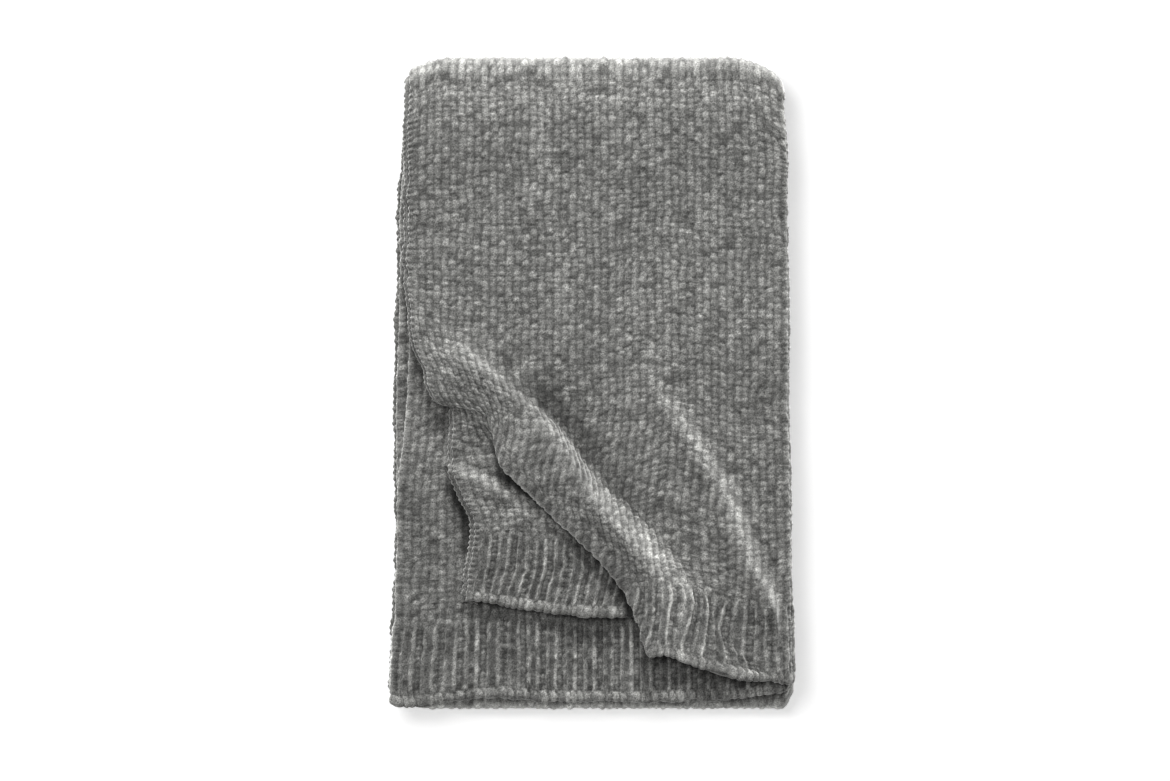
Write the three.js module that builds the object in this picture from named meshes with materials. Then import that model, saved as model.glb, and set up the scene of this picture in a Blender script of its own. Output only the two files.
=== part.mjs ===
import * as THREE from 'three';

// A bedspread knitted in chenille yarn, folded and laid flat, with its near left corner pulled
// back into one deep slanting pleat. Millimetres. X runs across the folded pile, Y along it from
// the near end to the far end, and Z is up. The underside lies on z = 0.
//
// The cloth is one sheet. A point on it has two flat coordinates: "across", from the selvedge of
// the top layer to the selvedge of the layer under it, and "along", from the hem that shows to
// the hem that is folded away. It is folded in half twice across its width, then in three along
// its length, and last the two top layers are pleated together.

// Cloth
const thickness = 3.4;
const layerPitch = 4.35;
const clothLength = 1524;

// Folded pile, before it settles unevenly
const rightFoldX = 151.8;
const leftFoldX = -147.1;
const selvedgeX = -147;
const secondSelvedgeX = -151;
const nearHemY = -257;
const farFoldY = 248;
const nearFoldY = -248.6;

// Pleat of the two top layers: a soft roll that slants down from the left selvedge to the hem
const rollStart = { x: -120, y: -14.3 };
const rollSlant = THREE.MathUtils.degToRad(49.2);
const rollRadius = 5;
const innerFoldRadius = 4.8;
const rollWidth = 56;
const rollRiseRun = 26;
const rollRiseLength = 33.5;
const rollLap = 20.5;
const rollHeight = 2 * (rollRadius + innerFoldRadius);

// How far the roll's edge bows off its straight line, along the roll
const rollBow = [
  { along: -100, bow: -8 },
  { along: -30, bow: -4 },
  { along: 0, bow: 0 },
  { along: 70, bow: 5 },
  { along: 130, bow: 9 },
  { along: 180, bow: 14 },
  { along: 215, bow: 12.5 },
  { along: 250, bow: 4.5 },
  { along: 300, bow: -6 },
];

// Where the near hem of each layer lies. The pleat draws in the hem of the two top layers.
const pleatedHem = [
  { x: -147, y: -224 },
  { x: -125, y: -225 },
  { x: -62, y: -231 },
  { x: 0, y: -233 },
  { x: 62, y: -229 },
  { x: 125, y: -240 },
  { x: 151.8, y: -241 },
];
const thirdHem = [
  { x: -147, y: -260 },
  { x: -138, y: -261 },
  { x: -107, y: -257 },
  { x: -72, y: -252 },
  { x: -42, y: -256 },
  { x: 28, y: -257 },
  { x: 123, y: -254 },
  { x: 151.8, y: -249 },
];
const fourthHem = [
  { x: -147, y: -258 },
  { x: 151.8, y: -241 },
];

// How the selvedge of the pleated layers swings aside, by its flat place beside the pleat
const selvedgeSwing = [
  { y: 88, x: 0, toNear: 0 },
  { y: 60, x: -3, toNear: 2 },
  { y: 40, x: -1, toNear: 10 },
  { y: 20, x: 6, toNear: 15 },
  { y: -5, x: 16, toNear: 19 },
  { y: -26, x: 11, toNear: 14 },
  { y: -48, x: 2, toNear: 6 },
  { y: -80, x: -15, toNear: 0 },
  { y: -115, x: -15, toNear: 0 },
  { y: -152, x: 2, toNear: 0 },
  { y: -165, x: 4, toNear: 0 },
  { y: -190, x: 0, toNear: 0 },
  { y: -220, x: -4.5, toNear: 0 },
];
const swingReach = 110;

// How far the sides of the pile stand out past their lines, down its length: the left fold of the
// upper third, all left edges lower down, and the folds on the right
const sideReach = [
  { y: 248, topFold: 0, lowerLeft: 0, right: -4 },
  { y: 200, topFold: 0, lowerLeft: 2, right: -1 },
  { y: 150, topFold: 0, lowerLeft: 5.5, right: -1.6 },
  { y: 70, topFold: 0, lowerLeft: 6.5, right: 0 },
  { y: -20, topFold: 0, lowerLeft: 9, right: 0 },
  { y: -75, topFold: 6.5, lowerLeft: 8.5, right: 1.5 },
  { y: -128, topFold: 8, lowerLeft: 8, right: 1.8 },
  { y: -210, topFold: 10.5, lowerLeft: 10.5, right: 3 },
  { y: -255, topFold: 13, lowerLeft: 13, right: 4 },
];

// How the pile settles: its corners round off in plan, and its height swells a little
const cornerFrom = 125;
const cornerTo = 150;
const outerCornerTo = 160;
const farRounding = 9;
const farOuterRounding = 11;
const nearLeftRounding = 7;
const nearRightRounding = 8;
const settlesFromY = { far: 120, near: 180 };
const swell = { share: 0.03, acrossWave: 62, alongWave: 83, start: 0.6 };

// A soft ridge in the top layer, to the right of the roll, from its top to its end
const softRidgeLine = [
  { y: 20, x: 44, height: 0 },
  { y: -50, x: 81, height: 3 },
  { y: -100, x: 110, height: 6 },
  { y: -145, x: 127, height: 6 },
  { y: -180, x: 141, height: 3.5 },
  { y: -215, x: 150, height: 0 },
];
const ridgeWidth = 12;
const ridgeLines = [-18, -9, 0, 9, 18];
const ridgeFade = 14;

// Ribs and bound-off edge at the hem that shows
const ribPitch = 15.25;
const ribGroove = 3.3;
const ribDepth = 1.1;
const ribHeight = 64;
const ribFade = 6;
const edgeBead = 0.3;
const edgeBeadWidth = 7;

// Lines along the pile that all its layers share, so that their facets lie level on each other,
// and the room beside the pleat that they leave
const sharedColumns = [-125, -62, 0, 62, 125];
const columnRoom = 6;

// A row of a table at a place between its rows, on a smooth curve through them
function readTable(rows, key, column, place) {
  const sign = Math.sign(rows[rows.length - 1][key] - rows[0][key]);
  const at = (row) => sign * row[key];
  const target = sign * place;
  if (target <= at(rows[0])) return rows[0][column];
  if (target >= at(rows[rows.length - 1])) return rows[rows.length - 1][column];
  const i = rows.findIndex((row) => at(row) > target) - 1;
  const slope = (a, b) => (b[column] - a[column]) / (at(b) - at(a));
  const low = rows[i];
  const high = rows[i + 1];
  const span = at(high) - at(low);
  const own = slope(low, high);
  const slopeIn = i > 0 ? (slope(rows[i - 1], low) + own) / 2 : 0;
  const slopeOut = i + 2 < rows.length ? (slope(high, rows[i + 2]) + own) / 2 : 0;
  const t = (target - at(low)) / span;
  const t2 = t * t;
  const t3 = t2 * t;
  return (
    (2 * t3 - 3 * t2 + 1) * low[column] +
    (t3 - 2 * t2 + t) * span * slopeIn +
    (3 * t2 - 2 * t3) * high[column] +
    (t3 - t2) * span * slopeOut
  );
}

// The same on straight lines between the rows
function readStraight(rows, key, column, place) {
  const next = rows.findIndex((row) => row[key] >= place);
  if (next <= 0) return rows.at(next)[column];
  const [low, high] = [rows[next - 1], rows[next]];
  return THREE.MathUtils.mapLinear(place, low[key], high[key], low[column], high[column]);
}

const ease = (value, from, to) => THREE.MathUtils.smoothstep(value, from, to);
const ramp = (value, from, to) => THREE.MathUtils.clamp((value - from) / (to - from), 0, 1);
const halfTurn = (radius) => Math.PI * radius;
const bump = (distance, width) => Math.exp(-((distance / width) ** 2));

// A folded line seen from its end: level runs, half turns up or down, and one soft rise.
// Each piece knows the cloth length it takes up and the place and heading where it starts.
function foldedLine(start, pieces) {
  let { a, z } = start;
  let heading = 1;
  let from = 0;
  return pieces.map((piece) => {
    const placed = { ...piece, a, z, heading, from };
    from += piece.length;
    if (piece.kind === 'run') a += heading * piece.length;
    if (piece.kind === 'rise') {
      a += heading * piece.run;
      z += piece.height;
    }
    if (piece.kind === 'down' || piece.kind === 'up') {
      z += (piece.kind === 'up' ? 2 : -2) * piece.radius;
      heading = -heading;
    }
    return placed;
  });
}

// The point at a distance along a folded line, raised by "lift" on its left-hand side
function pointOn(line, distance, lift) {
  const piece = line.findLast((item) => distance >= item.from) ?? line[0];
  const { a, z, heading, radius } = piece;
  const travelled = distance - piece.from;
  if (piece.kind === 'run' || travelled < 0) {
    return { a: a + heading * travelled, z: z + heading * lift };
  }
  if (piece.kind === 'rise') {
    const turn = Math.PI * (travelled / piece.length);
    const run = (heading * piece.run) / piece.length;
    const climb = ((piece.height / piece.length) * Math.PI * Math.sin(turn)) / 2;
    const scale = lift / Math.hypot(run, climb);
    return {
      a: a + run * travelled - climb * scale,
      z: z + (piece.height * (1 - Math.cos(turn))) / 2 + run * scale,
    };
  }
  const turn = Math.PI * (travelled / piece.length);
  const side = piece.kind === 'up' ? -1 : 1;
  return {
    a: a + heading * radius * Math.sin(turn) + side * lift * Math.sin(turn),
    z: z - side * radius * (1 - Math.cos(turn)) + heading * lift * Math.cos(turn),
  };
}

const run = (length) => ({ kind: 'run', length });
const fold = (kind, radius, length = halfTurn(radius)) => ({ kind, radius, length });

// Folded in half twice across its width. Levels are counted from the top layer down.
const panelWidth = rightFoldX - leftFoldX;
const acrossLine = foldedLine({ a: selvedgeX, z: 0 }, [
  { ...run(rightFoldX - selvedgeX), name: 'top', hem: pleatedHem },
  fold('down', 1.5 * layerPitch),
  { ...run(panelWidth), name: 'fourth', hem: fourthHem },
  fold('up', layerPitch / 2),
  { ...run(panelWidth), name: 'third', hem: thirdHem },
  fold('up', layerPitch / 2),
  { ...run(rightFoldX - secondSelvedgeX), name: 'second', hem: pleatedHem },
]);
const [topPanel, outerFold, fourthPanel, leftFold, thirdPanel, rightInnerFold, secondPanel] = acrossLine;
const clothAcross = secondPanel.from + secondPanel.length;

// Folded in three along its length. The line is that of the top layer, four layers deep.
const stackTurn = halfTurn(2 * layerPitch);
const topLevel = thickness / 2 + 11 * layerPitch;
const upperRun = farFoldY - nearHemY;
const middleRun = farFoldY - nearFoldY;
const alongLine = foldedLine({ a: nearHemY, z: topLevel }, [
  run(upperRun),
  fold('down', 3.5 * layerPitch, stackTurn),
  run(middleRun),
  fold('down', layerPitch / 2, stackTurn),
  run(clothLength - upperRun - middleRun - 2 * stackTurn),
]);
const [upperThird, farFold, middleThird, nearFold, lowerThird] = alongLine;

// The pleat, square to the roll: up onto the roll, over its edge, back under and out again
const pleatLine = foldedLine({ a: -rollWidth, z: 0 }, [
  { kind: 'rise', length: rollRiseLength, run: rollRiseRun, height: rollHeight },
  run(rollWidth - rollRiseRun - rollRadius),
  fold('down', rollRadius),
  run(rollLap - rollRadius),
  fold('down', innerFoldRadius),
  run(rollLap),
]);
const [roll, rollTop, rollEdge, rollUnder, innerFold, rollFoot] = pleatLine;
const pleatLength = rollFoot.from + rollFoot.length;

// Directions in plan: down along the roll, and away from its edge over the roll
const alongRoll = { x: Math.cos(rollSlant), y: -Math.sin(rollSlant) };
const overRoll = { x: Math.sin(rollSlant), y: Math.cos(rollSlant) };

// A flat place in the upper third, as distances along the roll and into the pleat
function pleatPlace(x, y) {
  const dx = x - rollStart.x;
  const dy = y - rollStart.y;
  const along = dx * alongRoll.x + dy * alongRoll.y;
  const over = dx * overRoll.x + dy * overRoll.y;
  const bow = readTable(rollBow, 'along', 'bow', along);
  return { along, bow, into: rollWidth + bow - over };
}

// How far the near hem is drawn in, at a place across the cloth
function hemDraw(across) {
  const index = acrossLine.findLastIndex((piece) => across >= piece.from);
  const piece = acrossLine[index];
  const x = pointOn(acrossLine, across, 0).a;
  if (piece.hem) return readStraight(piece.hem, 'x', 'y', x) - nearHemY;
  const share = (across - piece.from) / piece.length;
  const [before, after] = [acrossLine[index - 1], acrossLine[index + 1]].map((panel) =>
    readStraight(panel.hem, 'x', 'y', piece.a),
  );
  return THREE.MathUtils.lerp(before, after, share) - nearHemY;
}

// The cloth is knitted to one length, so a hem that is drawn in gathers its layer a little
const drawnAlong = (across, along) => along + hemDraw(across) * Math.max(0, 1 - along / upperRun);

// The flat place, in plan, of a point of the upper third
function flatPlace(across, along) {
  return {
    x: pointOn(acrossLine, across, 0).a,
    y: nearHemY + drawnAlong(across, along),
  };
}

const fromRidge = (x, y) => x - readTable(softRidgeLine, 'y', 'x', y);

const inPleatedLayers = (across, along) =>
  (across < outerFold.from || across > secondPanel.from) && along < upperRun;

// Height that the soft ridge adds to the top layer
function softRidge(x, y, into) {
  const height = readTable(softRidgeLine, 'y', 'height', y);
  const toFold = 1 - ease(x, rightFoldX - ridgeFade, rightFoldX);
  return height * bump(fromRidge(x, y), ridgeWidth) * toFold * ramp(-into, 0, columnRoom);
}

// The pleat and the swing of the selvedge, for a point of the two top layers
function pleated(across, along, level) {
  const flat = flatPlace(across, along);
  const place = pleatPlace(flat.x, flat.y);
  const section = pointOn(pleatLine, place.into, level + layerPitch / 2);
  const over = place.bow - section.a;
  const fromSelvedge = Math.max(0, flat.x - selvedgeX);
  const swing = Math.max(0, 1 - fromSelvedge / swingReach) ** 2;
  const point = {
    x:
      rollStart.x +
      place.along * alongRoll.x +
      over * overRoll.x +
      swing * readTable(selvedgeSwing, 'y', 'x', flat.y),
    y:
      rollStart.y +
      place.along * alongRoll.y +
      over * overRoll.y -
      swing * readTable(selvedgeSwing, 'y', 'toNear', flat.y),
  };
  const ridge = across < outerFold.from ? softRidge(point.x, point.y, place.into) : 0;
  return { ...point, z: topLevel - layerPitch / 2 + section.z + ridge };
}

// The uneven lie of the whole pile: sides that wander, rounded corners and a soft crown. Only
// straight slopes between the shared lines move the folds, so that the layers stay apart.
function settled(point, across, along) {
  const { x, y, z } = point;
  const lower = along > farFold.from + farFold.length / 2;
  const pleatedLayer = across < outerFold.from || across > secondPanel.from;
  const leftColumn = lower ? 'lowerLeft' : 'topFold';
  const leftReach = pleatedLayer && !lower ? 0 : readTable(sideReach, 'y', leftColumn, y);
  const rightReach = readTable(sideReach, 'y', 'right', y);
  const side = Math.abs(x);
  const farRound =
    farRounding * ramp(side, cornerFrom, cornerTo) + farOuterRounding * ramp(side, cornerTo, outerCornerTo);
  const nearRound =
    nearLeftRounding * ramp(-x, cornerFrom, -selvedgeX) +
    nearRightRounding * ramp(x, rightFoldX, outerCornerTo);
  const nearShare = lower ? ease(-y, settlesFromY.near, -nearFoldY) : 0;
  const wave = Math.sin(x / swell.acrossWave + swell.start) * Math.cos(y / swell.alongWave);
  const crown = swell.share * (wave - (x / cornerTo) ** 2);
  const inner = sharedColumns.at(-2);
  return new THREE.Vector3(
    x - leftReach * ramp(-x, inner, -selvedgeX) + rightReach * ramp(x, inner, rightFoldX),
    y - farRound * ease(y, settlesFromY.far, farFoldY) + nearRound * nearShare,
    z * (1 + crown),
  );
}

// The point of the folded cloth at a flat place, raised by "lift" towards its right side
function clothPoint(across, along, lift) {
  const section = pointOn(acrossLine, across, lift);
  if (inPleatedLayers(across, along)) {
    return settled(pleated(across, along, section.z), across, along);
  }
  const lie = pointOn(alongLine, drawnAlong(across, along), section.z);
  return settled({ x: section.a, y: lie.a, z: lie.z }, across, along);
}

// Rib grooves sink into the right side of the layers whose hem shows, and the edges are thicker
function rightSideLift(across, along) {
  const bead = along < edgeBeadWidth ? edgeBead : 0;
  const offCentre = Math.abs(across - ribPitch * Math.round(across / ribPitch));
  const groove = Math.max(0, 1 - offCentre / ribGroove);
  return thickness / 2 + bead - ribDepth * groove * (1 - ease(along, ribHeight - ribFade, ribHeight));
}

// Steps in which each piece of a folded line is cut into facets
const evenly = (piece, steps) =>
  Array.from({ length: steps }, (_, i) => piece.from + (piece.length * (i + 1)) / steps);

// Facet lines of the pleat, as distances into it
const pleatSteps = [
  0,
  ...evenly(roll, 3),
  ...evenly(rollTop, 1),
  ...evenly(rollEdge, 4),
  ...evenly(rollUnder, 2),
  ...evenly(innerFold, 4),
  ...evenly(rollFoot, 2),
];

// Where a measure that falls, or grows, from "from" to "to" passes a wanted value
function solve(measure, wanted, from, to) {
  let low = from;
  let high = to;
  const rising = measure(high) > measure(low);
  for (let i = 0; i < 40; i += 1) {
    const middle = (low + high) / 2;
    if (measure(middle) < wanted === rising) low = middle;
    else high = middle;
  }
  return (low + high) / 2;
}

function depthIntoPleat(across, along) {
  const flat = flatPlace(across, along);
  return pleatPlace(flat.x, flat.y).into;
}

// Rows of facets up the cloth. In the upper third each facet line of the pleat has a row where
// it runs out through the selvedge of the top layer.
const pleatRows = pleatSteps.map((step) => solve((along) => depthIntoPleat(0, along), step, 0, upperRun));
const alongRows = [
  ...[0, edgeBeadWidth, 22, 38, 52, ribHeight, 78, 94, 108, 120],
  ...pleatRows,
  ...[375, 420, 465, upperRun],
  ...evenly(farFold, 6),
  ...evenly(middleThird, 4),
  ...evenly(nearFold, 6),
  ...evenly(lowerThird, 4),
].sort((a, b) => a - b);

const stepRoom = 1e-3;

// The places across one layer on the shared lines
function columnPlaces(layer) {
  return sharedColumns.map((x, i) => ({
    key: `${layer.name} column ${i}`,
    across: layer.from + Math.abs(x - layer.a),
  }));
}

// The same for a pleated layer, with the facet lines of the pleat and room beside them
function pleatedLayerPlaces(layer, along, fromSelvedge) {
  const places = [];
  const width = layer.length;
  const depth = (distance) => depthIntoPleat(fromSelvedge(distance), along);
  const inUpper = along <= upperRun;
  const first = along <= ribHeight ? rollTop.from : 0;
  if (inUpper) {
    pleatSteps.forEach((step, i) => {
      if (step >= first && step <= depth(0) + stepRoom && step >= depth(width)) {
        const across = fromSelvedge(solve(depth, step, 0, width));
        places.push({ key: `${layer.name} pleat ${i}`, main: true, across });
      }
    });
  }
  const columns = columnPlaces(layer).filter(({ across }) => {
    const into = inUpper ? depthIntoPleat(across, along) : -columnRoom;
    return into <= -columnRoom || into >= pleatLength + columnRoom;
  });
  return [...places, ...columns];
}

// Facet lines on the soft ridge of the top layer
function ridgePlaces(along) {
  const { y } = flatPlace(topPanel.length / 2, along);
  if (along >= upperRun || y > softRidgeLine[0].y) return [];
  const offset = (across) => {
    const flat = flatPlace(across, along);
    return fromRidge(flat.x, flat.y);
  };
  return ridgeLines
    .map((wanted, i) => ({
      key: `ridge ${i}`,
      across: solve(offset, wanted, topPanel.length / 3, topPanel.length),
    }))
    .filter(({ across }) => across < topPanel.length - 1 && depthIntoPleat(across, along) <= -columnRoom);
}

// The steps of a fold, named so that each row finds those of the next
function plainPlaces(piece, steps, name) {
  return evenly(piece, steps).map((across, i) => ({ key: `${name} ${i}`, main: true, across }));
}

// Rib grooves and their shoulders, left out where the layer is hidden inside the pleat. On the
// rise of the roll they are the facet lines of both pleated layers.
function ribPlaces(layer, along) {
  if (along > ribHeight) return [];
  const first = Math.ceil(layer.from / ribPitch);
  const last = Math.floor((layer.from + layer.length) / ribPitch);
  const places = [];
  for (let rib = first; rib <= last; rib += 1) {
    for (const side of [-1, 0, 1]) {
      const across = rib * ribPitch + side * ribGroove;
      const inside = across > layer.from + 1 && across < layer.from + layer.length - 1;
      const into = inside && layer === topPanel ? depthIntoPleat(across, along) : 0;
      const shows = into < rollEdge.from || into > pleatLength;
      if (inside && shows) places.push({ key: `rib ${rib} ${side}`, across });
    }
  }
  return places;
}

// Those of them that lie on the rise of the roll
function risePlaces(along) {
  return ribPlaces(topPanel, along).filter(({ across }) => {
    const into = depthIntoPleat(across, along);
    return into > -columnRoom && into < rollTop.from;
  });
}

// All facet corners of one row, in order across the cloth
function rowPlaces(along, side) {
  const places = [
    { key: 'top selvedge', main: true, across: 0 },
    ...pleatedLayerPlaces(topPanel, along, (distance) => distance),
    { key: 'outer fold', main: true, across: outerFold.from },
    ...plainPlaces(outerFold, 5, 'outer fold'),
    ...columnPlaces(fourthPanel),
    { key: 'left fold', main: true, across: leftFold.from },
    ...plainPlaces(leftFold, 4, 'left fold'),
    ...columnPlaces(thirdPanel),
    { key: 'inner fold', main: true, across: rightInnerFold.from },
    ...plainPlaces(rightInnerFold, 4, 'inner fold'),
    ...pleatedLayerPlaces(secondPanel, along, (distance) => clothAcross - distance),
    { key: 'under top selvedge', main: true, across: clothAcross + secondSelvedgeX - selvedgeX },
    { key: 'second selvedge', main: true, across: clothAcross },
  ];
  const underRise = risePlaces(along).map(({ key, across }) => ({
    key: `second ${key}`,
    across: secondPanel.from + topPanel.length - across,
  }));
  places.push(...ridgePlaces(along), ...underRise);
  if (side > 0 || along === 0) places.push(...ribPlaces(topPanel, along), ...ribPlaces(thirdPanel, along));
  else places.push(...risePlaces(along));
  return places.sort((a, b) => a.across - b.across);
}

// Corners and facets of the closed sheet
const corners = [];
const facets = [];

function addCorner(across, along, lift) {
  corners.push(clothPoint(across, along, lift));
  return corners.length - 1;
}

function addFacet(a, b, c) {
  if (a !== b && b !== c && c !== a) facets.push([a, b, c]);
}

// Places that two rows share, in order: first the fold lines, then all else between them
function sharedPlaces(lower, upper) {
  const match = (from, to, mainOnly) => {
    const pairs = [];
    let above = from[1];
    for (let below = from[0]; below <= to[0]; below += 1) {
      if (mainOnly && !lower[below].main) continue;
      const found = upper.findIndex(
        (place, i) => i >= above && i <= to[1] && place.key === lower[below].key,
      );
      if (found >= 0) {
        pairs.push([below, found]);
        above = found;
      }
    }
    return pairs;
  };
  const main = match([0, 0], [lower.length - 1, upper.length - 1], true);
  return main.flatMap((pair, i) => {
    if (i === main.length - 1) return [pair];
    const next = main[i + 1];
    const between = match(pair, next, false).filter(([below]) => below > pair[0] && below < next[0]);
    return [pair, ...between];
  });
}

// Facets between two rows, whose places need not be the same. Each takes the shorter diagonal,
// and where both are even the second layer mirrors the top one, so that the two lie parallel.
const evenDiagonals = 0.01;

function joinRows(lower, upper, facing) {
  const turn = (a, b, c) => (facing > 0 ? addFacet(a, b, c) : addFacet(a, c, b));
  const shared = sharedPlaces(lower, upper);
  for (let i = 1; i < shared.length; i += 1) {
    let [below, above] = shared[i - 1];
    const [belowEnd, aboveEnd] = shared[i];
    while (below < belowEnd || above < aboveEnd) {
      const belowNext = lower[below + 1]?.across ?? Infinity;
      const aboveNext = upper[above + 1]?.across ?? Infinity;
      const fromBelow = Math.abs(belowNext - upper[above].across);
      const fromAbove = Math.abs(aboveNext - lower[below].across);
      const mirrored = lower[below].across >= secondPanel.from;
      const even = Math.abs(fromBelow - fromAbove) < evenDiagonals;
      const shorterBelow = even ? mirrored : fromBelow < fromAbove;
      if (above === aboveEnd || (below < belowEnd && shorterBelow)) {
        turn(lower[below].corner, lower[below + 1].corner, upper[above].corner);
        below += 1;
      } else {
        turn(lower[below].corner, upper[above + 1].corner, upper[above].corner);
        above += 1;
      }
    }
  }
}

function faceRows(side) {
  return alongRows.map((along) => {
    let last = { across: -1 };
    return rowPlaces(along, side).map((place) => {
      const lift = side > 0 ? rightSideLift(place.across, along) : -thickness / 2;
      const same = Math.abs(place.across - last.across) < 1e-3;
      const corner = same ? last.corner : addCorner(place.across, along, lift);
      last = { ...place, corner };
      return last;
    });
  });
}

const rightSide = faceRows(1);
const wrongSide = faceRows(-1);
const lastRow = alongRows.length - 1;
for (let i = 0; i < lastRow; i += 1) {
  joinRows(rightSide[i], rightSide[i + 1], 1);
  joinRows(wrongSide[i], wrongSide[i + 1], -1);
  for (const [end, facing] of [[0, 1], [-1, -1]]) {
    const [right, rightNext] = [rightSide[i].at(end).corner, rightSide[i + 1].at(end).corner];
    const [wrong, wrongNext] = [wrongSide[i].at(end).corner, wrongSide[i + 1].at(end).corner];
    if (facing > 0) {
      addFacet(right, rightNext, wrongNext);
      addFacet(right, wrongNext, wrong);
    } else {
      addFacet(rightNext, right, wrong);
      addFacet(rightNext, wrong, wrongNext);
    }
  }
}
joinRows(wrongSide[0], rightSide[0], 1);
joinRows(rightSide[lastRow], wrongSide[lastRow], 1);

// The origin is under the middle of the pile
const extent = new THREE.Box3().setFromPoints(corners);
const origin = extent.getCenter(new THREE.Vector3()).setZ(extent.min.z);
corners.forEach((corner) => corner.sub(origin));

const geometry = new THREE.BufferGeometry().setFromPoints(corners);
geometry.setIndex(facets.flat());
geometry.computeVertexNormals();

const chenille = new THREE.MeshStandardMaterial({ color: 0x7c7c7a, roughness: 0.95, metalness: 0 });
const bedspread = new THREE.Mesh(geometry, chenille);
bedspread.name = 'bedspread';

const group = new THREE.Group();
group.add(bedspread);

export default group;
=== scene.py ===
"""A chenille bedspread, knitted in one piece and folded into a flat pile with one soft pleat.

The folded cloth follows the same named sizes as its solid. A plain body carries the whole cloth
through all its layers, and knitted faces lie on it wherever it shows. Millimetres in the fold and
knit classes, metres in every mesh.
"""

import logging
import math
from dataclasses import dataclass, field
from enum import Enum

import bpy
import numpy as np
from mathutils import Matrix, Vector


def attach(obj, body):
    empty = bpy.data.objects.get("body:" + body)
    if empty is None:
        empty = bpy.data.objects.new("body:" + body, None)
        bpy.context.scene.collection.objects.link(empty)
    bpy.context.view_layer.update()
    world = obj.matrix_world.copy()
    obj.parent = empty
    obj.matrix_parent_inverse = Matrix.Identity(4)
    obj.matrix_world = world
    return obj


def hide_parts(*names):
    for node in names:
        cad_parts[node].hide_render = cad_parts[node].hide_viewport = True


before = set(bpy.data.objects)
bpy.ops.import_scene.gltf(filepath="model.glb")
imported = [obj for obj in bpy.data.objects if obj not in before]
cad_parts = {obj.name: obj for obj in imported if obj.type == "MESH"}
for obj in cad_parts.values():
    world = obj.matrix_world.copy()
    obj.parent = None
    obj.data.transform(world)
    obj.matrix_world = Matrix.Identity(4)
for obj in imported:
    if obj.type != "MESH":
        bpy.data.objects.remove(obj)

log = logging.getLogger("bedspread")
Array = np.ndarray
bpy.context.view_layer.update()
MM = 0.001


class Bend(Enum):
    """How one stretch of a folded line runs."""

    RUN = "run"
    DOWN = "down"
    UP = "up"
    RISE = "rise"


def blend(first: Array, second: Array, share: Array) -> Array:
    """The first value, giving way to the second by its share."""
    return first * (1 - share) + second * share


@dataclass(frozen=True)
class Span:
    """Two places between which something sets in or fades."""

    start: float
    end: float

    def ramp(self, place: Array) -> Array:
        """Straight slope from 0 at the start to 1 at the end."""
        return np.clip((place - self.start) / (self.end - self.start), 0.0, 1.0)

    def rise(self, place: Array) -> Array:
        """Smooth slope from 0 at the start to 1 at the end."""
        t = self.ramp(place)
        return t * t * (3 - 2 * t)

    def fall(self, place: Array) -> Array:
        """Smooth slope from 1 at the start to 0 at the end."""
        return 1 - self.rise(place)


@dataclass(frozen=True)
class Reach:
    """Where something shows: it grows from its start until it is full, then fades until it is gone."""

    start: float
    full: float
    fading: float
    gone: float

    def at(self, place: Array) -> Array:
        """How much of it shows at a place, 0 to 1."""
        return Span(self.start, self.full).rise(place) * Span(self.fading, self.gone).fall(place)


@dataclass(frozen=True)
class Hill:
    """A round hill of height 1."""

    middle: float
    width: float

    def at(self, place: Array) -> Array:
        """Height of the hill at a place."""
        return np.exp(-(((place - self.middle) / self.width) ** 2))


class Curve:
    """A smooth curve through the rows of a short table."""

    def __init__(self, *rows: tuple[float, float]) -> None:
        """Keeps the rows in rising order.

        Args:
            rows: pairs of place and value.
        """
        ordered = sorted(rows)
        self.places = np.array([row[0] for row in ordered], float)
        self.values = np.array([row[1] for row in ordered], float)
        rates = np.diff(self.values) / np.diff(self.places)
        self.slopes = np.concatenate([[0.0], (rates[:-1] + rates[1:]) / 2, [0.0]])

    def at(self, place: Array) -> Array:
        """Value of the curve.

        Args:
            place: where to read it.

        Returns:
            The values, level past both ends.
        """
        x = np.clip(place, self.places[0], self.places[-1])
        i = np.clip(np.searchsorted(self.places, x, side="right") - 1, 0, len(self.places) - 2)
        span = self.places[i + 1] - self.places[i]
        t = (x - self.places[i]) / span
        t2, t3 = t * t, t * t * t
        return (
            (2 * t3 - 3 * t2 + 1) * self.values[i]
            + (t3 - 2 * t2 + t) * span * self.slopes[i]
            + (3 * t2 - 2 * t3) * self.values[i + 1]
            + (t3 - t2) * span * self.slopes[i + 1]
        )


@dataclass
class Stretch:
    """One stretch of a folded line. Its place and heading are set by the line."""

    bend: Bend
    length: float
    radius: float = 0.0
    run: float = 0.0
    height: float = 0.0
    a: float = 0.0
    z: float = 0.0
    heading: float = 1.0
    start: float = 0.0

    @property
    def end(self) -> float:
        """Cloth distance at which the stretch ends."""
        return self.start + self.length


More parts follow.
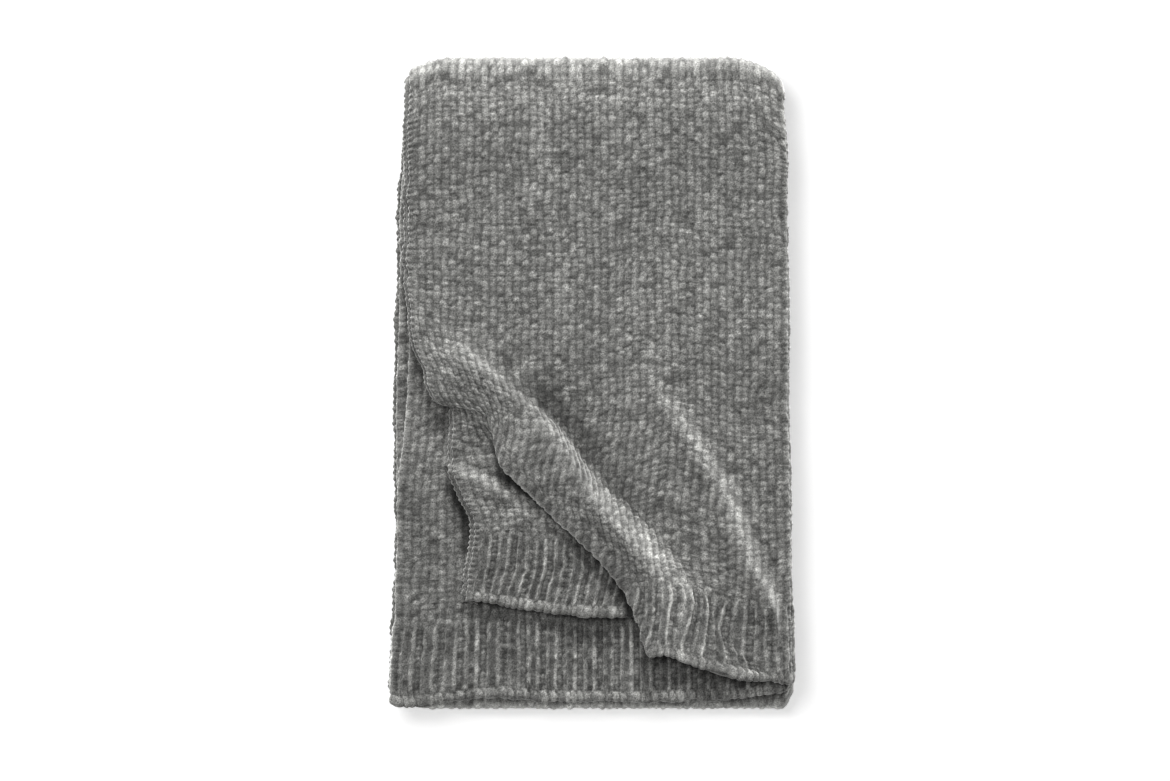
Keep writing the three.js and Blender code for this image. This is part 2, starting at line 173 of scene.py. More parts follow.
class FoldedLine:
    """A folded line seen from its end: level runs, half turns and one soft rise."""

    def __init__(self, a: float, z: float, *stretches: Stretch) -> None:
        """Places the stretches one after the other.

        Args:
            a: place of the line's start.
            z: height of the line's start.
            stretches: the stretches in order.
        """
        heading, start = 1.0, 0.0
        for stretch in stretches:
            stretch.a, stretch.z, stretch.heading, stretch.start = a, z, heading, start
            start += stretch.length
            if stretch.bend is Bend.RUN:
                a += heading * stretch.length
            elif stretch.bend is Bend.RISE:
                a += heading * stretch.run
                z += stretch.height
            else:
                z += (2 if stretch.bend is Bend.UP else -2) * stretch.radius
                heading = -heading
        self.stretches = stretches

    @staticmethod
    def _on(stretch: Stretch, gone: Array, lift: Array) -> tuple[Array, Array]:
        """Points on one stretch.

        Args:
            stretch: the stretch.
            gone: distance gone along it.
            lift: height off the line on its left-hand side.

        Returns:
            The places and the heights.
        """
        heading = stretch.heading
        if stretch.bend is Bend.RUN:
            return stretch.a + heading * gone, stretch.z + heading * lift
        turn = math.pi * gone / stretch.length
        if stretch.bend is Bend.RISE:
            rate = heading * stretch.run / stretch.length
            climb = stretch.height / stretch.length * math.pi * np.sin(turn) / 2
            scale = lift / np.hypot(rate, climb)
            height = stretch.z + stretch.height * (1 - np.cos(turn)) / 2
            return stretch.a + rate * gone - climb * scale, height + rate * scale
        side = -1.0 if stretch.bend is Bend.UP else 1.0
        reach = heading * stretch.radius + side * lift
        drop = side * stretch.radius * (1 - np.cos(turn))
        return stretch.a + reach * np.sin(turn), stretch.z - drop + heading * lift * np.cos(turn)

    def at(self, distance: Array, lift: Array) -> tuple[Array, Array]:
        """Points on the line.

        Args:
            distance: cloth distance along the line.
            lift: height off the line on its left-hand side.

        Returns:
            The places and the heights.
        """
        distance, lift = np.broadcast_arrays(np.asarray(distance, float), np.asarray(lift, float))
        first = self.stretches[0]
        a = first.a + first.heading * (distance - first.start)
        z = first.z + first.heading * lift
        for i, stretch in enumerate(self.stretches):
            here = distance >= stretch.start
            if i + 1 < len(self.stretches):
                here = here & (distance < self.stretches[i + 1].start)
            a_here, z_here = self._on(stretch, distance - stretch.start, lift)
            a, z = np.where(here, a_here, a), np.where(here, z_here, z)
        return a, z


def run(length: float) -> Stretch:
    """A level stretch."""
    return Stretch(Bend.RUN, length)


def fold(bend: Bend, radius: float, length: float | None = None) -> Stretch:
    """A half turn, as long as its own arc unless a length is given."""
    return Stretch(bend, math.pi * radius if length is None else length, radius=radius)


@dataclass
class Pleat:
    """The soft roll into which the two top layers are pleated, slanting down to the hem.

    The tables and reaches named by "along" are read down the roll, from near the selvedge to the
    hem. Those named by a place or a height are read by the cloth distance into the pleat.
    """

    start_x: float = -120.0
    start_y: float = -14.3
    slant: float = math.radians(49.2)
    radius: float = 5.0
    inner_radius: float = 4.8
    width: float = 56.0
    rise_run: float = 26.0
    rise_length: float = 33.5
    lap: float = 20.5
    clear_height: float = 6.0
    bow_along: Curve = Curve(
        (-100, -8), (-30, -4), (0, 0), (70, 5), (130, 9), (180, 14), (215, 12.5), (250, 4.5), (300, -6)
    )
    fullness_along: Curve = Curve(
        (0, 0.30), (35, 0.38), (75, 0.9), (110, 1), (170, 1), (205, 0.8), (240, 0.5), (275, 0.3)
    )
    section: Curve = Curve((-56, 1.0), (-38, 1.2), (-26, 1.14), (-12, 0.94), (0, 0.82), (8, 0.8))
    waist: float = 10.0
    waist_along: Reach = Reach(70, 150, 200, 262)
    waist_over: Reach = Reach(-130, -48, -42, -4)
    steep_along: Reach = Reach(10, 40, 105, 160)
    steep_place: Curve = Curve((0, -56), (6, -50), (17, -46), (28, -40), (58.5, -5))
    steep_height: Curve = Curve((0, 0), (6, 1.2), (17, 11), (28, 19.6), (58.5, 19.6))
    soft_along: Span = Span(195, 245)
    soft_height: Curve = Curve((0, 0), (12, 2.4), (25, 8.5), (38, 15.5), (50, 19), (58.5, 19.6))
    open_along: Span = Span(22, 76)
    open_place: Curve = Curve(
        (0, -56), (8, -50), (19, -43.5), (27, -38.5), (50, -28), (70, -18.5), (90, -9.5), (110, 0.5),
        (130, 12.5), (150, 29.7), (170, 49.7),
    )
    open_height: Curve = Curve(
        (0, 0), (8, 1.8), (19, 11), (27, 14), (50, 12.5), (70, 10), (90, 6), (110, 2.4), (130, 0.6),
        (150, 0), (170, 0),
    )
    selvedge_share: float = 0.2
    selvedge_along: Span = Span(-48, -6)

    def __post_init__(self) -> None:
        """Makes the line of the pleat, square to the roll, and its directions in plan."""
        height = 2 * (self.radius + self.inner_radius)
        self.line = FoldedLine(
            -self.width,
            0.0,
            Stretch(Bend.RISE, self.rise_length, run=self.rise_run, height=height),
            run(self.width - self.rise_run - self.radius),
            fold(Bend.DOWN, self.radius),
            run(self.lap - self.radius),
            fold(Bend.DOWN, self.inner_radius),
            run(self.lap),
        )
        _, _, self.edge, _, self.inner, self.foot = self.line.stretches
        self.down = (math.cos(self.slant), -math.sin(self.slant))
        self.over = (math.sin(self.slant), math.cos(self.slant))

    def place(self, x: Array, y: Array) -> tuple[Array, Array, Array]:
        """Distances of a flat place along the roll and into the pleat.

        Args:
            x: flat place across the pile.
            y: flat place along the pile.

        Returns:
            The distance down along the roll, the bow of the roll there, and the cloth distance
            into the pleat.
        """
        dx, dy = x - self.start_x, y - self.start_y
        along = dx * self.down[0] + dy * self.down[1]
        over = dx * self.over[0] + dy * self.over[1]
        bow = self.bow_along.at(along)
        return along, bow, self.width + bow - over

    def plan(self, along: Array, over: Array) -> tuple[Array, Array]:
        """Place in plan of a point of the roll.

        Args:
            along: distance down along the roll.
            over: distance square to it, away from its edge.

        Returns:
            The places across and along the pile.
        """
        x = self.start_x + along * self.down[0] + over * self.over[0]
        return x, self.start_y + along * self.down[1] + over * self.over[1]

    def lie(self, along: Array, into: Array, lift: Array) -> tuple[Array, Array]:
        """How the cloth lies across the roll: open at the selvedge, then steep, soft near the hem.

        Args:
            along: distance down along the roll.
            into: cloth distance into the pleat.
            lift: height off the cloth's middle.

        Returns:
            The place across the roll, towards its edge, and the height.
        """
        a, z = self.line.at(into, lift)
        middle_a, middle_z = self.line.at(into, 0.0)
        on_panel = (into > 0) & (into < self.edge.start)
        steep = self.steep_along.at(along) * on_panel
        a = a + steep * (self.steep_place.at(into) - middle_a)
        z = z + steep * (self.steep_height.at(into) - middle_z)
        soft = self.soft_along.rise(along) * on_panel
        even = -self.width + (self.width - self.radius) * into / self.edge.start
        a = a + soft * (even - middle_a)
        z = z + soft * (self.soft_height.at(into) - middle_z)
        share = self.fullness_along.at(along) * self.section.at(a)
        z = np.minimum(z, self.clear_height) + np.maximum(z - self.clear_height, 0) * share
        narrow = self.waist * self.waist_along.at(along) * (into < self.edge.start)
        a = a + narrow * self.waist_over.at(a)
        opened = self.open_along.fall(along) * ((into > 0) & (into < self.open_place.places[-1]))
        a = a + opened * (self.open_place.at(into) - a)
        swelling = self.selvedge_share + (1 - self.selvedge_share) * self.selvedge_along.rise(along)
        z = z + opened * (swelling * self.open_height.at(into) + lift - z)
        return a, z


@dataclass(frozen=True)
class Spot:
    """Points of the two top layers: their place in the pile and at the pleat."""

    x: Array
    y: Array
    from_selvedge: Array
    along: Array
    into: Array
    over: Array
    past_foot: Array


@dataclass(frozen=True)
class SoftForms:
    """Soft forms of the two top layers: ridges, swellings, a curled selvedge and a leaning hem.

    Reaches named by "near" are read by the distance from the pile's middle towards the near hem.
    """

    ridge_x: Curve = Curve(
        (20, 44), (-50, 80), (-100, 109), (-145, 125), (-163, 133), (-181, 143), (-197, 153), (-215, 163)
    )
    ridge_height: Curve = Curve(
        (30, 0), (-10, 2), (-45, 7), (-100, 11.5), (-145, 12.5), (-180, 11.5), (-215, 9), (-240, 5)
    )
    ridge_over: Hill = Hill(0, 9.5)
    ridge_from_pleat: Span = Span(0, 6)
    ridge_to_fold: float = 9.0
    hem_height: float = 4.5
    hem_near: Span = Span(196, 222)
    hem_x: Hill = Hill(92, 30)
    hem_into: Span = Span(22, 48)
    corner_y: Curve = Curve((-112, -70), (-86, -78), (-67, -86), (-51, -96.5), (-34, -110))
    corner_height: Curve = Curve((-114, 10), (-100, 15), (-80, 15), (-60, 14), (-45, 12), (-30, 7))
    corner_far_side: Hill = Hill(0, 5.5)
    corner_near_side: Hill = Hill(0, 11)
    corner_over: Span = Span(7, 22)
    beside_height: float = 5.5
    beside_along: Reach = Reach(85, 115, 215, 245)
    beside_over: Reach = Reach(8, 17, 17, 60)
    curl_height: float = 6.0
    curl_width: Span = Span(0, 24)
    curl_y: Hill = Hill(-112, 34)
    under_share: float = 0.8
    hem_lean: float = 9.0
    hem_lean_near: Span = Span(160, 225)
    hem_lean_x: float = 80.0
    hem_lean_width: Span = Span(20, 62)
    corner_lean: float = 17.0
    corner_lean_near: Span = Span(150, 225)
    corner_lean_x: Span = Span(-105, -55)
    corner_lean_over: Span = Span(-18, 0)

    def height(self, spot: Spot, on_top: Array, fold_x: float) -> Array:
        """How far the soft forms stand up.

        Args:
            spot: the points.
            on_top: 1 on the top layer, 0 on the one under it.
            fold_x: place of the right fold, where the ridge ends.

        Returns:
            The heights.
        """
        to_fold = Span(fold_x - self.ridge_to_fold, fold_x).fall(spot.x)
        ridge = self.ridge_height.at(spot.y) * self.ridge_over.at(spot.x - self.ridge_x.at(spot.y))
        ridge = ridge * to_fold * self.ridge_from_pleat.ramp(-spot.into)
        hem = self.hem_height * self.hem_near.rise(-spot.y) * self.hem_x.at(spot.x)
        hem = hem * self.hem_into.fall(spot.into)
        foot = spot.past_foot * self.corner_over.ramp(spot.over)
        off_ridge = spot.y - self.corner_y.at(spot.x)
        far_side, near_side = self.corner_far_side.at(off_ridge), self.corner_near_side.at(off_ridge)
        sides = np.where(off_ridge > 0, far_side, near_side)
        corner = self.corner_height.at(spot.x) * sides * foot
        beside = self.beside_height * spot.past_foot * self.beside_along.at(spot.along)
        corner = np.maximum(corner, beside * self.beside_over.at(spot.over))
        curl = self.curl_height * self.curl_width.fall(spot.from_selvedge) * self.curl_y.at(spot.y) * foot
        return (ridge + hem) * on_top + (corner + curl) * blend(self.under_share, 1.0, on_top)

    def lean(self, spot: Spot, before_inner: Array) -> Array:
        """How far the hem of the top layers leans to the left.

        Args:
            spot: the points.
            before_inner: whether they lie before the pleat's inner fold.

        Returns:
            The distances.
        """
        hem = self.hem_lean * self.hem_lean_near.rise(-spot.y)
        hem = hem * self.hem_lean_width.fall(np.abs(spot.x - self.hem_lean_x)) * before_inner
        corner = self.corner_lean * self.corner_lean_near.ramp(-spot.y) * self.corner_lean_x.rise(spot.x)
        return hem + corner * spot.past_foot * self.corner_lean_over.rise(spot.over)


@dataclass(frozen=True)
class PileShape:
    """The uneven lie of the whole pile: rounded corners, a soft crown and slight ripples."""

    far_corner: float = 20.0
    far_corner_x: Span = Span(112, 162)
    far_corner_power: float = 2.2
    far_corner_y: float = 120.0
    near_left: float = 7.0
    near_left_x: Span = Span(125, 147)
    near_right: float = 8.0
    near_right_x: Span = Span(151.8, 160)
    near_corner_y: float = 180.0
    crown_share: float = 0.03
    crown_width: float = 150.0
    wave_shift: float = 0.6
    wave_across: float = 62.0
    wave_along: float = 83.0
    ripple_share: float = 0.016
    ripple_across: float = 24.0
    ripple_along: float = 36.0
    sway_across: float = 1.4
    sway_across_length: float = 47.0
    sway_along: float = 0.9
    sway_along_length: float = 58.0

    def crown(self, x: Array, y: Array) -> Array:
        """Share by which the pile stands higher or lower than its plain height.

        Args:
            x: place across the pile.
            y: place along the pile.

        Returns:
            The shares around 0.
        """
        wave = np.sin(x / self.wave_across + self.wave_shift) * np.cos(y / self.wave_along)
        swayed_x = x / self.ripple_across + self.sway_across * np.sin(y / self.sway_across_length)
        swayed_y = y / self.ripple_along + self.sway_along * np.sin(x / self.sway_along_length)
        ripple = np.sin(swayed_x) * np.cos(swayed_y)
        return self.crown_share * (wave - (x / self.crown_width) ** 2) + self.ripple_share * ripple

    def drawn_in(self, x: Array, y: Array, lower: Array, far_y: float, near_y: float) -> Array:
        """How far the rounded corners are drawn in.

        Args:
            x: place across the pile.
            y: place along the pile.
            lower: whether the points lie in the layers under the first four.
            far_y: place of the far fold.
            near_y: place of the near fold.

        Returns:
            The distances along the pile, towards the near side.
        """
        far = self.far_corner * self.far_corner_x.ramp(np.abs(x)) ** self.far_corner_power
        left = self.near_left * self.near_left_x.ramp(-x)
        near = np.where(lower, left + self.near_right * self.near_right_x.ramp(x), 0.0)
        far_share = Span(self.far_corner_y, far_y).rise(y)
        return far * far_share - near * Span(self.near_corner_y, -near_y).rise(-y)


@dataclass
class FoldedCloth:
    """The whole cloth as it lies: folded in four across, in three along, and pleated on top.

    A point of the cloth has two flat places: "across", from the selvedge of the top layer to that
    of the layer under it, and "along", from the hem that shows to the hem that is folded away.
    The table of a hem gives its place along the pile by the place across it.
    """

    thickness: float = 3.4
    pitch: float = 4.35
    layers: int = 12
    layers_across: int = 4
    length: float = 1524.0
    right_fold_x: float = 151.8
    left_fold_x: float = -147.1
    selvedge_x: float = -147.0
    second_selvedge_x: float = -151.0
    near_hem_y: float = -257.0
    far_fold_y: float = 248.0
    near_fold_y: float = -248.6
    swing_reach: float = 110.0
    swing_x: Curve = Curve(
        (110, 0), (88, -1), (60, -4.4), (40, -8.4), (20, -10.4), (0, -8.7), (-20, -9.7), (-30, -8.8),
        (-36, -6.1), (-44, -0.9), (-52, -1.7), (-70, -6.7), (-90, -11.9), (-110, -11.5), (-130, -6.3),
        (-150, 1), (-165, 2), (-190, -1), (-224, -5.5),
    )
    swing_near: Curve = Curve(
        (110, 0), (88, 0.9), (60, 0.8), (40, 3.5), (20, 5.8), (0, 7.7), (-20, 10.3), (-30, 11.5), (-36, 10.6),
        (-44, 5.6), (-52, 5.5), (-70, 7.5), (-90, 10.3), (-110, 11), (-130, 9.1), (-150, 5.3), (-165, 3.3),
        (-190, 0.3), (-224, -4.7),
    )
    top_reach: Curve = Curve((248, 0), (-20, 0), (-75, 6.5), (-128, 8), (-210, 10.5), (-255, 13))
    left_reach: Curve = Curve(
        (248, 0), (200, 2), (150, 5.5), (70, 6.5), (-20, 9), (-75, 8.5), (-128, 8), (-210, 10.5), (-255, 13)
    )
    right_reach: Curve = Curve(
        (248, -4), (200, -1), (150, -1.6), (70, 0), (-20, 0), (-75, 1.5), (-128, 1.8), (-210, 3), (-255, 4)
    )
    pleated_hem: tuple[tuple[float, float], ...] = (
        (-147, -224), (-125, -225), (-62, -231), (0, -233), (62, -221), (84, -228), (109, -237),
        (125, -240.5), (151.8, -241),
    )
    third_hem: tuple[tuple[float, float], ...] = (
        (-147, -260), (-138, -261), (-107, -257), (-72, -252), (-42, -256), (28, -257), (123, -254),
        (151.8, -249),
    )
    fourth_hem: tuple[tuple[float, float], ...] = ((-147, -258), (151.8, -241))
    inner_column: float = 62.0
    middle_x: float = -0.27
    middle_y: float = -0.30
    pressed: float = 0.1
    pleat: Pleat = field(default_factory=Pleat)
    forms: SoftForms = SoftForms()
    shape: PileShape = PileShape()

    def __post_init__(self) -> None:
        """Makes the lines of the folds and gives each layer across its hem."""
        panel = self.right_fold_x - self.left_fold_x
        half = self.pitch / 2
        self.across_line = FoldedLine(
            self.selvedge_x,
            0.0,
            run(self.right_fold_x - self.selvedge_x),
            fold(Bend.DOWN, (self.layers_across - 1) * half),
            run(panel),
            fold(Bend.UP, half),
            run(panel),
            fold(Bend.UP, half),
            run(self.right_fold_x - self.second_selvedge_x),
        )
        stretches = self.across_line.stretches
        self.top, self.outer_fold, self.fourth, self.left_fold, self.third, self.inner_fold = stretches[:6]
        self.second = stretches[6]
        self.width = self.second.end
        around = math.pi * self.layers_across / 2 * self.pitch
        self.top_level = self.thickness / 2 + (self.layers - 1) * self.pitch
        upper, middle = self.far_fold_y - self.near_hem_y, self.far_fold_y - self.near_fold_y
        self.along_line = FoldedLine(
            self.near_hem_y,
            self.top_level,
            run(upper),
            fold(Bend.DOWN, (2 * self.layers_across - 1) * half, around),
            run(middle),
            fold(Bend.DOWN, half, around),
            run(self.length - upper - middle - 2 * around),
        )
        self.upper, self.far_fold, self.middle, self.near_fold, self.lower = self.along_line.stretches
        self.hems = {0: self.pleated_hem, 2: self.fourth_hem, 4: self.third_hem, 6: self.pleated_hem}

    def in_top_layers(self, across: Array) -> Array:
        """Whether a place lies in one of the two layers that are pleated."""
        return (across < self.outer_fold.start) | (across > self.second.start)

    def hem_draw(self, across: Array) -> Array:
        """How far the near hem is drawn in.

        Args:
            across: flat place across the cloth.

        Returns:
            The distance past the hem's plain line.
        """
        x, _ = self.across_line.at(across, 0.0)
        drawn = np.zeros_like(x)
        for i, stretch in enumerate(self.across_line.stretches):
            here = across >= stretch.start
            if i in self.hems:
                value = np.interp(x, *np.transpose(self.hems[i]))
            else:
                share = (across - stretch.start) / stretch.length
                before = np.interp(stretch.a, *np.transpose(self.hems[i - 1]))
                after = np.interp(stretch.a, *np.transpose(self.hems[i + 1]))
                value = before + (after - before) * share
            drawn = np.where(here | (i == 0), value - self.near_hem_y, drawn)
        return drawn

    def drawn_along(self, across: Array, along: Array) -> Array:
        """Distance along the fold, with the hem drawn in.

        Args:
            across: flat place across the cloth.
            along: flat place along the cloth.

        Returns:
            The distance from the hem's plain line.
        """
        share = np.clip(1 - along / self.upper.length, 0.0, 1.0)
        return along + self.hem_draw(across) * share

    def _pleated(self, x: Array, y: Array, level: Array) -> tuple[Array, Array, Array]:
        """Points of the two top layers, with the pleat, the swung selvedge and the soft forms.

        Args:
            x: flat place across the pile.
            y: flat place along the pile.
            level: height in the pile, from the middle of the top layer.

        Returns:
            The three coordinates.
        """
        roll = self.pleat
        along, bow, into = roll.place(x, y)
        a, z = roll.lie(along, into, level + self.pitch / 2)
        from_selvedge = x - self.selvedge_x
        swing = np.clip(1 - np.maximum(0.0, from_selvedge) / self.swing_reach, 0.0, 1.0) ** 2
        px, py = roll.plan(along, bow - a)
        px = px + swing * self.swing_x.at(y)
        py = py - swing * self.swing_near.at(y)
        spot = Spot(px, py, from_selvedge, along, into, a, into > roll.foot.start)
        on_top = Span(-self.pitch, 0.0).rise(level)
        z = z + self.forms.height(spot, on_top, self.right_fold_x)
        return px - self.forms.lean(spot, into < roll.inner.start), py, self.top_level - self.pitch / 2 + z

    def _settled(self, x: Array, y: Array, z: Array, across: Array, along: Array) -> Array:
        """The uneven lie of the pile: sides that wander, rounded corners and a soft crown.

        Args:
            x: place across the pile.
            y: place along the pile.
            z: height.
            across: flat place across the cloth.
            along: flat place along the cloth.

        Returns:
            Points in metres, in the frame of the solid.
        """
        lower = along > self.far_fold.start + self.far_fold.length / 2
        upper_reach = np.where(self.in_top_layers(across), 0.0, self.top_reach.at(y))
        left = np.where(lower, self.left_reach.at(y), upper_reach)
        px = x - left * Span(self.inner_column, -self.selvedge_x).ramp(-x)
        px = px + self.right_reach.at(y) * Span(self.inner_column, self.right_fold_x).ramp(x)
        py = y - self.shape.drawn_in(x, y, lower, self.far_fold_y, self.near_fold_y)
        pz = np.maximum(z * (1 + self.shape.crown(x, y)), self.pressed)
        return np.stack([px - self.middle_x, py - self.middle_y, pz], axis=-1) * MM

    def points(self, across: Array, along: Array, lift: Array) -> Array:
        """Points of the folded cloth.

        Args:
            across: flat place across the cloth.
            along: flat place along the cloth.
            lift: height off its middle, towards its right side.

        Returns:
            Points in metres, in the frame of the solid.
        """
        across, along, lift = np.broadcast_arrays(across, along, lift)
        x_middle, _ = self.across_line.at(across, 0.0)
        x, level = self.across_line.at(across, lift)
        drawn = self.drawn_along(across, along)
        y, z = self.along_line.at(drawn, level)
        pleated = self.in_top_layers(across) & (along < self.upper.length)
        px, py, pz = self._pleated(x_middle, self.near_hem_y + drawn, level)
        x, y, z = np.where(pleated, px, x), np.where(pleated, py, y), np.where(pleated, pz, z)
        return self._settled(x, y, z, across, along)


@dataclass(frozen=True)
class PaintedLightAndShade:
    """Painted light and shade: lighter where the cloth bends to the light, painted shade in creases and
    hollows.

    Reaches named by "down" are read along the roll of the pleat, those by "into" by the cloth
    distance into it, those by "near" towards the near hem, and those by "past" from a fold's start.
    """

    # painted shade deep in the pleat's crevice under the roll's edge
    crevice_shade: float = 0.82
    crevice_down: Span = Span(60, 84)
    crevice_past_edge: float = 7.0
    crevice_past_foot: Span = Span(21.5, 27)
    # painted shade on the slope that rises to the roll's crest
    panel: float = 0.26
    panel_start: Span = Span(-2, 3)
    panel_end: Span = Span(20, 30)
    panel_down: Reach = Reach(0, 20, 110, 150)
    # painted shadow on the flat cloth just beyond the roll's far slope
    behind_crest_shade: float = 0.6
    behind_into: Hill = Hill(-6, 11)
    behind_down: Span = Span(20, 55)
    behind_drop: float = 0.4
    behind_first_fade: Span = Span(85, 130)
    behind_last_fade: Span = Span(150, 190)
    # painted highlight along the roll's crest near the hem
    crest_highlight: float = 0.5
    crest_into: Hill = Hill(20, 16)
    crest_down: Reach = Reach(160, 195, 245, 275)
    # painted highlight on the top layer's ribs where the roll's crest crosses them
    ribs: float = 0.34
    ribs_across: Hill = Hill(205, 34)
    ribs_along: Span = Span(66, 90)
    # painted highlight on the ridge of the corner piece beside the crevice
    corner: float = 0.52
    corner_off: Hill = Hill(1, 13)
    corner_past_foot: Span = Span(22, 27)
    corner_down: Reach = Reach(50, 70, 130, 165)
    # painted highlight along the top layer's soft ridge
    ridge: float = 0.58
    ridge_off: Hill = Hill(2, 9.5)
    ridge_near: Span = Span(-50, 75)
    ridge_drop: float = 0.3
    ridge_fade: Span = Span(120, 200)
    # painted highlight on the near fold
    near_fold: float = 0.7
    near_fold_past: Span = Span(-8, 4)
    # painted highlight on the far fold; far_dip makes the top darker a little before it
    far_fold: float = 0.34
    far_fold_past: Hill = Hill(-12, 14)
    far_dip: float = 0.09
    far_dip_past: Hill = Hill(-80, 45)
    # painted shadow on the layer beside the swung selvedge
    swung_edge_shadow: float = 0.76
    swung_edge_x: Curve = Curve(
        (-62, -113), (-76, -111), (-95, -105), (-112, -98.5), (-133, -98), (-141, -104)
    )
    swung_edge_off: Hill = Hill(0, 7)
    swung_edge_near: Reach = Reach(64, 92, 132, 146)
    # painted shade on the lower layer left of the corner piece
    low_corner_shade: float = 0.08
    low_corner_near: Reach = Reach(50, 90, 150, 180)
    low_corner_x: Span = Span(-104, -84)
    front_end: float = 250.0

    def _at_pleat(self, cloth: FoldedCloth, down: Array, bow: Array, into: Array) -> tuple[Array, Array]:
        """Painted highlight and painted shade that come from the pleat and its corner.

        Args:
            cloth: the folded cloth.
            down: distance down along the roll.
            bow: bow of the roll there.
            into: cloth distance into the pleat.

        Returns:
            The painted highlight added to the tone, and the painted shade by which it is multiplied.
        """
        roll = cloth.pleat
        past_foot = into - roll.foot.start
        # painted shade in the crevice under the roll's edge
        in_crevice = Span(roll.edge.start + self.crevice_past_edge, roll.edge.end).rise(into)
        crevice_shade = self.crevice_down.rise(down) * in_crevice * self.crevice_past_foot.fall(past_foot)
        # painted shade on the slope that rises to the roll's crest
        panel = self.panel_start.ramp(into) * self.panel_end.fall(into) * self.panel_down.at(down)
        # painted shadow on the flat cloth just beyond the roll's far slope
        first, last = self.behind_first_fade.rise(down), self.behind_last_fade.rise(down)
        fades = 1 - self.behind_drop * first - (1 - self.behind_drop) * last
        behind_crest_shade = self.behind_into.at(into) * self.behind_down.rise(down) * fades
        # painted highlight along the roll's crest near the hem
        crest_highlight = self.crest_into.at(into) * self.crest_down.at(down)
        # painted highlight on the ridge of the corner piece beside the crevice
        corner_x, corner_y = roll.plan(down, bow - roll.line.at(into, 0.0)[0])
        off_corner = corner_y - cloth.forms.corner_y.at(corner_x)
        corner = self.corner_off.at(off_corner) * self.corner_past_foot.rise(past_foot)
        corner = corner * self.corner_down.at(down)
        shade = (1 - self.crevice_shade * crevice_shade) * (1 - self.panel * panel) * (1 - self.behind_crest_shade * behind_crest_shade)
        return self.crest_highlight * crest_highlight + self.corner * corner, shade

    def at(self, cloth: FoldedCloth, across: Array, along: Array) -> Array:
        """Painted light and shade at places of the cloth.

        Args:
            cloth: the folded cloth.
            across: flat place across the cloth.
            along: flat place along the cloth.

        Returns:
            A factor around 1.
        """
        x, _ = cloth.across_line.at(across, 0.0)
        y = cloth.near_hem_y + cloth.drawn_along(across, along)
        down, bow, into = cloth.pleat.place(x, y)
        free = cloth.in_top_layers(across) & (along < cloth.upper.length)
        front = (across > cloth.third.start) & (across < cloth.third.end) & (along < self.front_end)
        pleat_glow, pleat_shade = self._at_pleat(cloth, down, bow, into)
        # painted highlight on the ribs where the roll's crest crosses them
        ribs = self.ribs_across.at(across) * self.ribs_along.fall(along)
        # painted highlight along the top layer's soft ridge
        ridge = self.ridge_off.at(x - cloth.forms.ridge_x.at(y)) * self.ridge_near.rise(-y)
        ridge = ridge * (1 - self.ridge_drop * self.ridge_fade.rise(-y)) * (into < 0)
        # painted shadow on the layer beside the swung selvedge
        edge_off = x - self.swung_edge_x.at(y)
        swung_edge_shadow = self.swung_edge_near.at(-y) * self.swung_edge_off.at(edge_off)
        # painted shade on the lower layer left of the corner piece
        low_corner_shade = self.low_corner_near.at(-y) * self.low_corner_x.fall(x)
        past_near, past_far = along - cloth.near_fold.start, along - cloth.far_fold.start
        # painted highlight on the near fold
        near = self.near_fold * self.near_fold_past.rise(past_near) * (along < cloth.near_fold.end)
        # painted highlight on the far fold, darker a little before it
        far = self.far_fold * self.far_fold_past.at(past_far) - self.far_dip * self.far_dip_past.at(past_far)
        glow = 1 + near + far + free * (pleat_glow + self.ribs * ribs + self.ridge * ridge)
        front_shade = (1 - self.swung_edge_shadow * front * swung_edge_shadow) * (1 - self.low_corner_shade * front * low_corner_shade)
        return glow * np.where(free, pleat_shade, 1.0) * front_shade


@dataclass(frozen=True)
class Waver:
    """Soft chance unevenness: its size, and the distances over which it changes."""

    size: float
    first: float
    second: float = math.inf
    row: float = 0.0


@dataclass(frozen=True)
class Blob:
    """Half width and half length of a blob of yarn, in cells."""

    wide: float
    tall: float


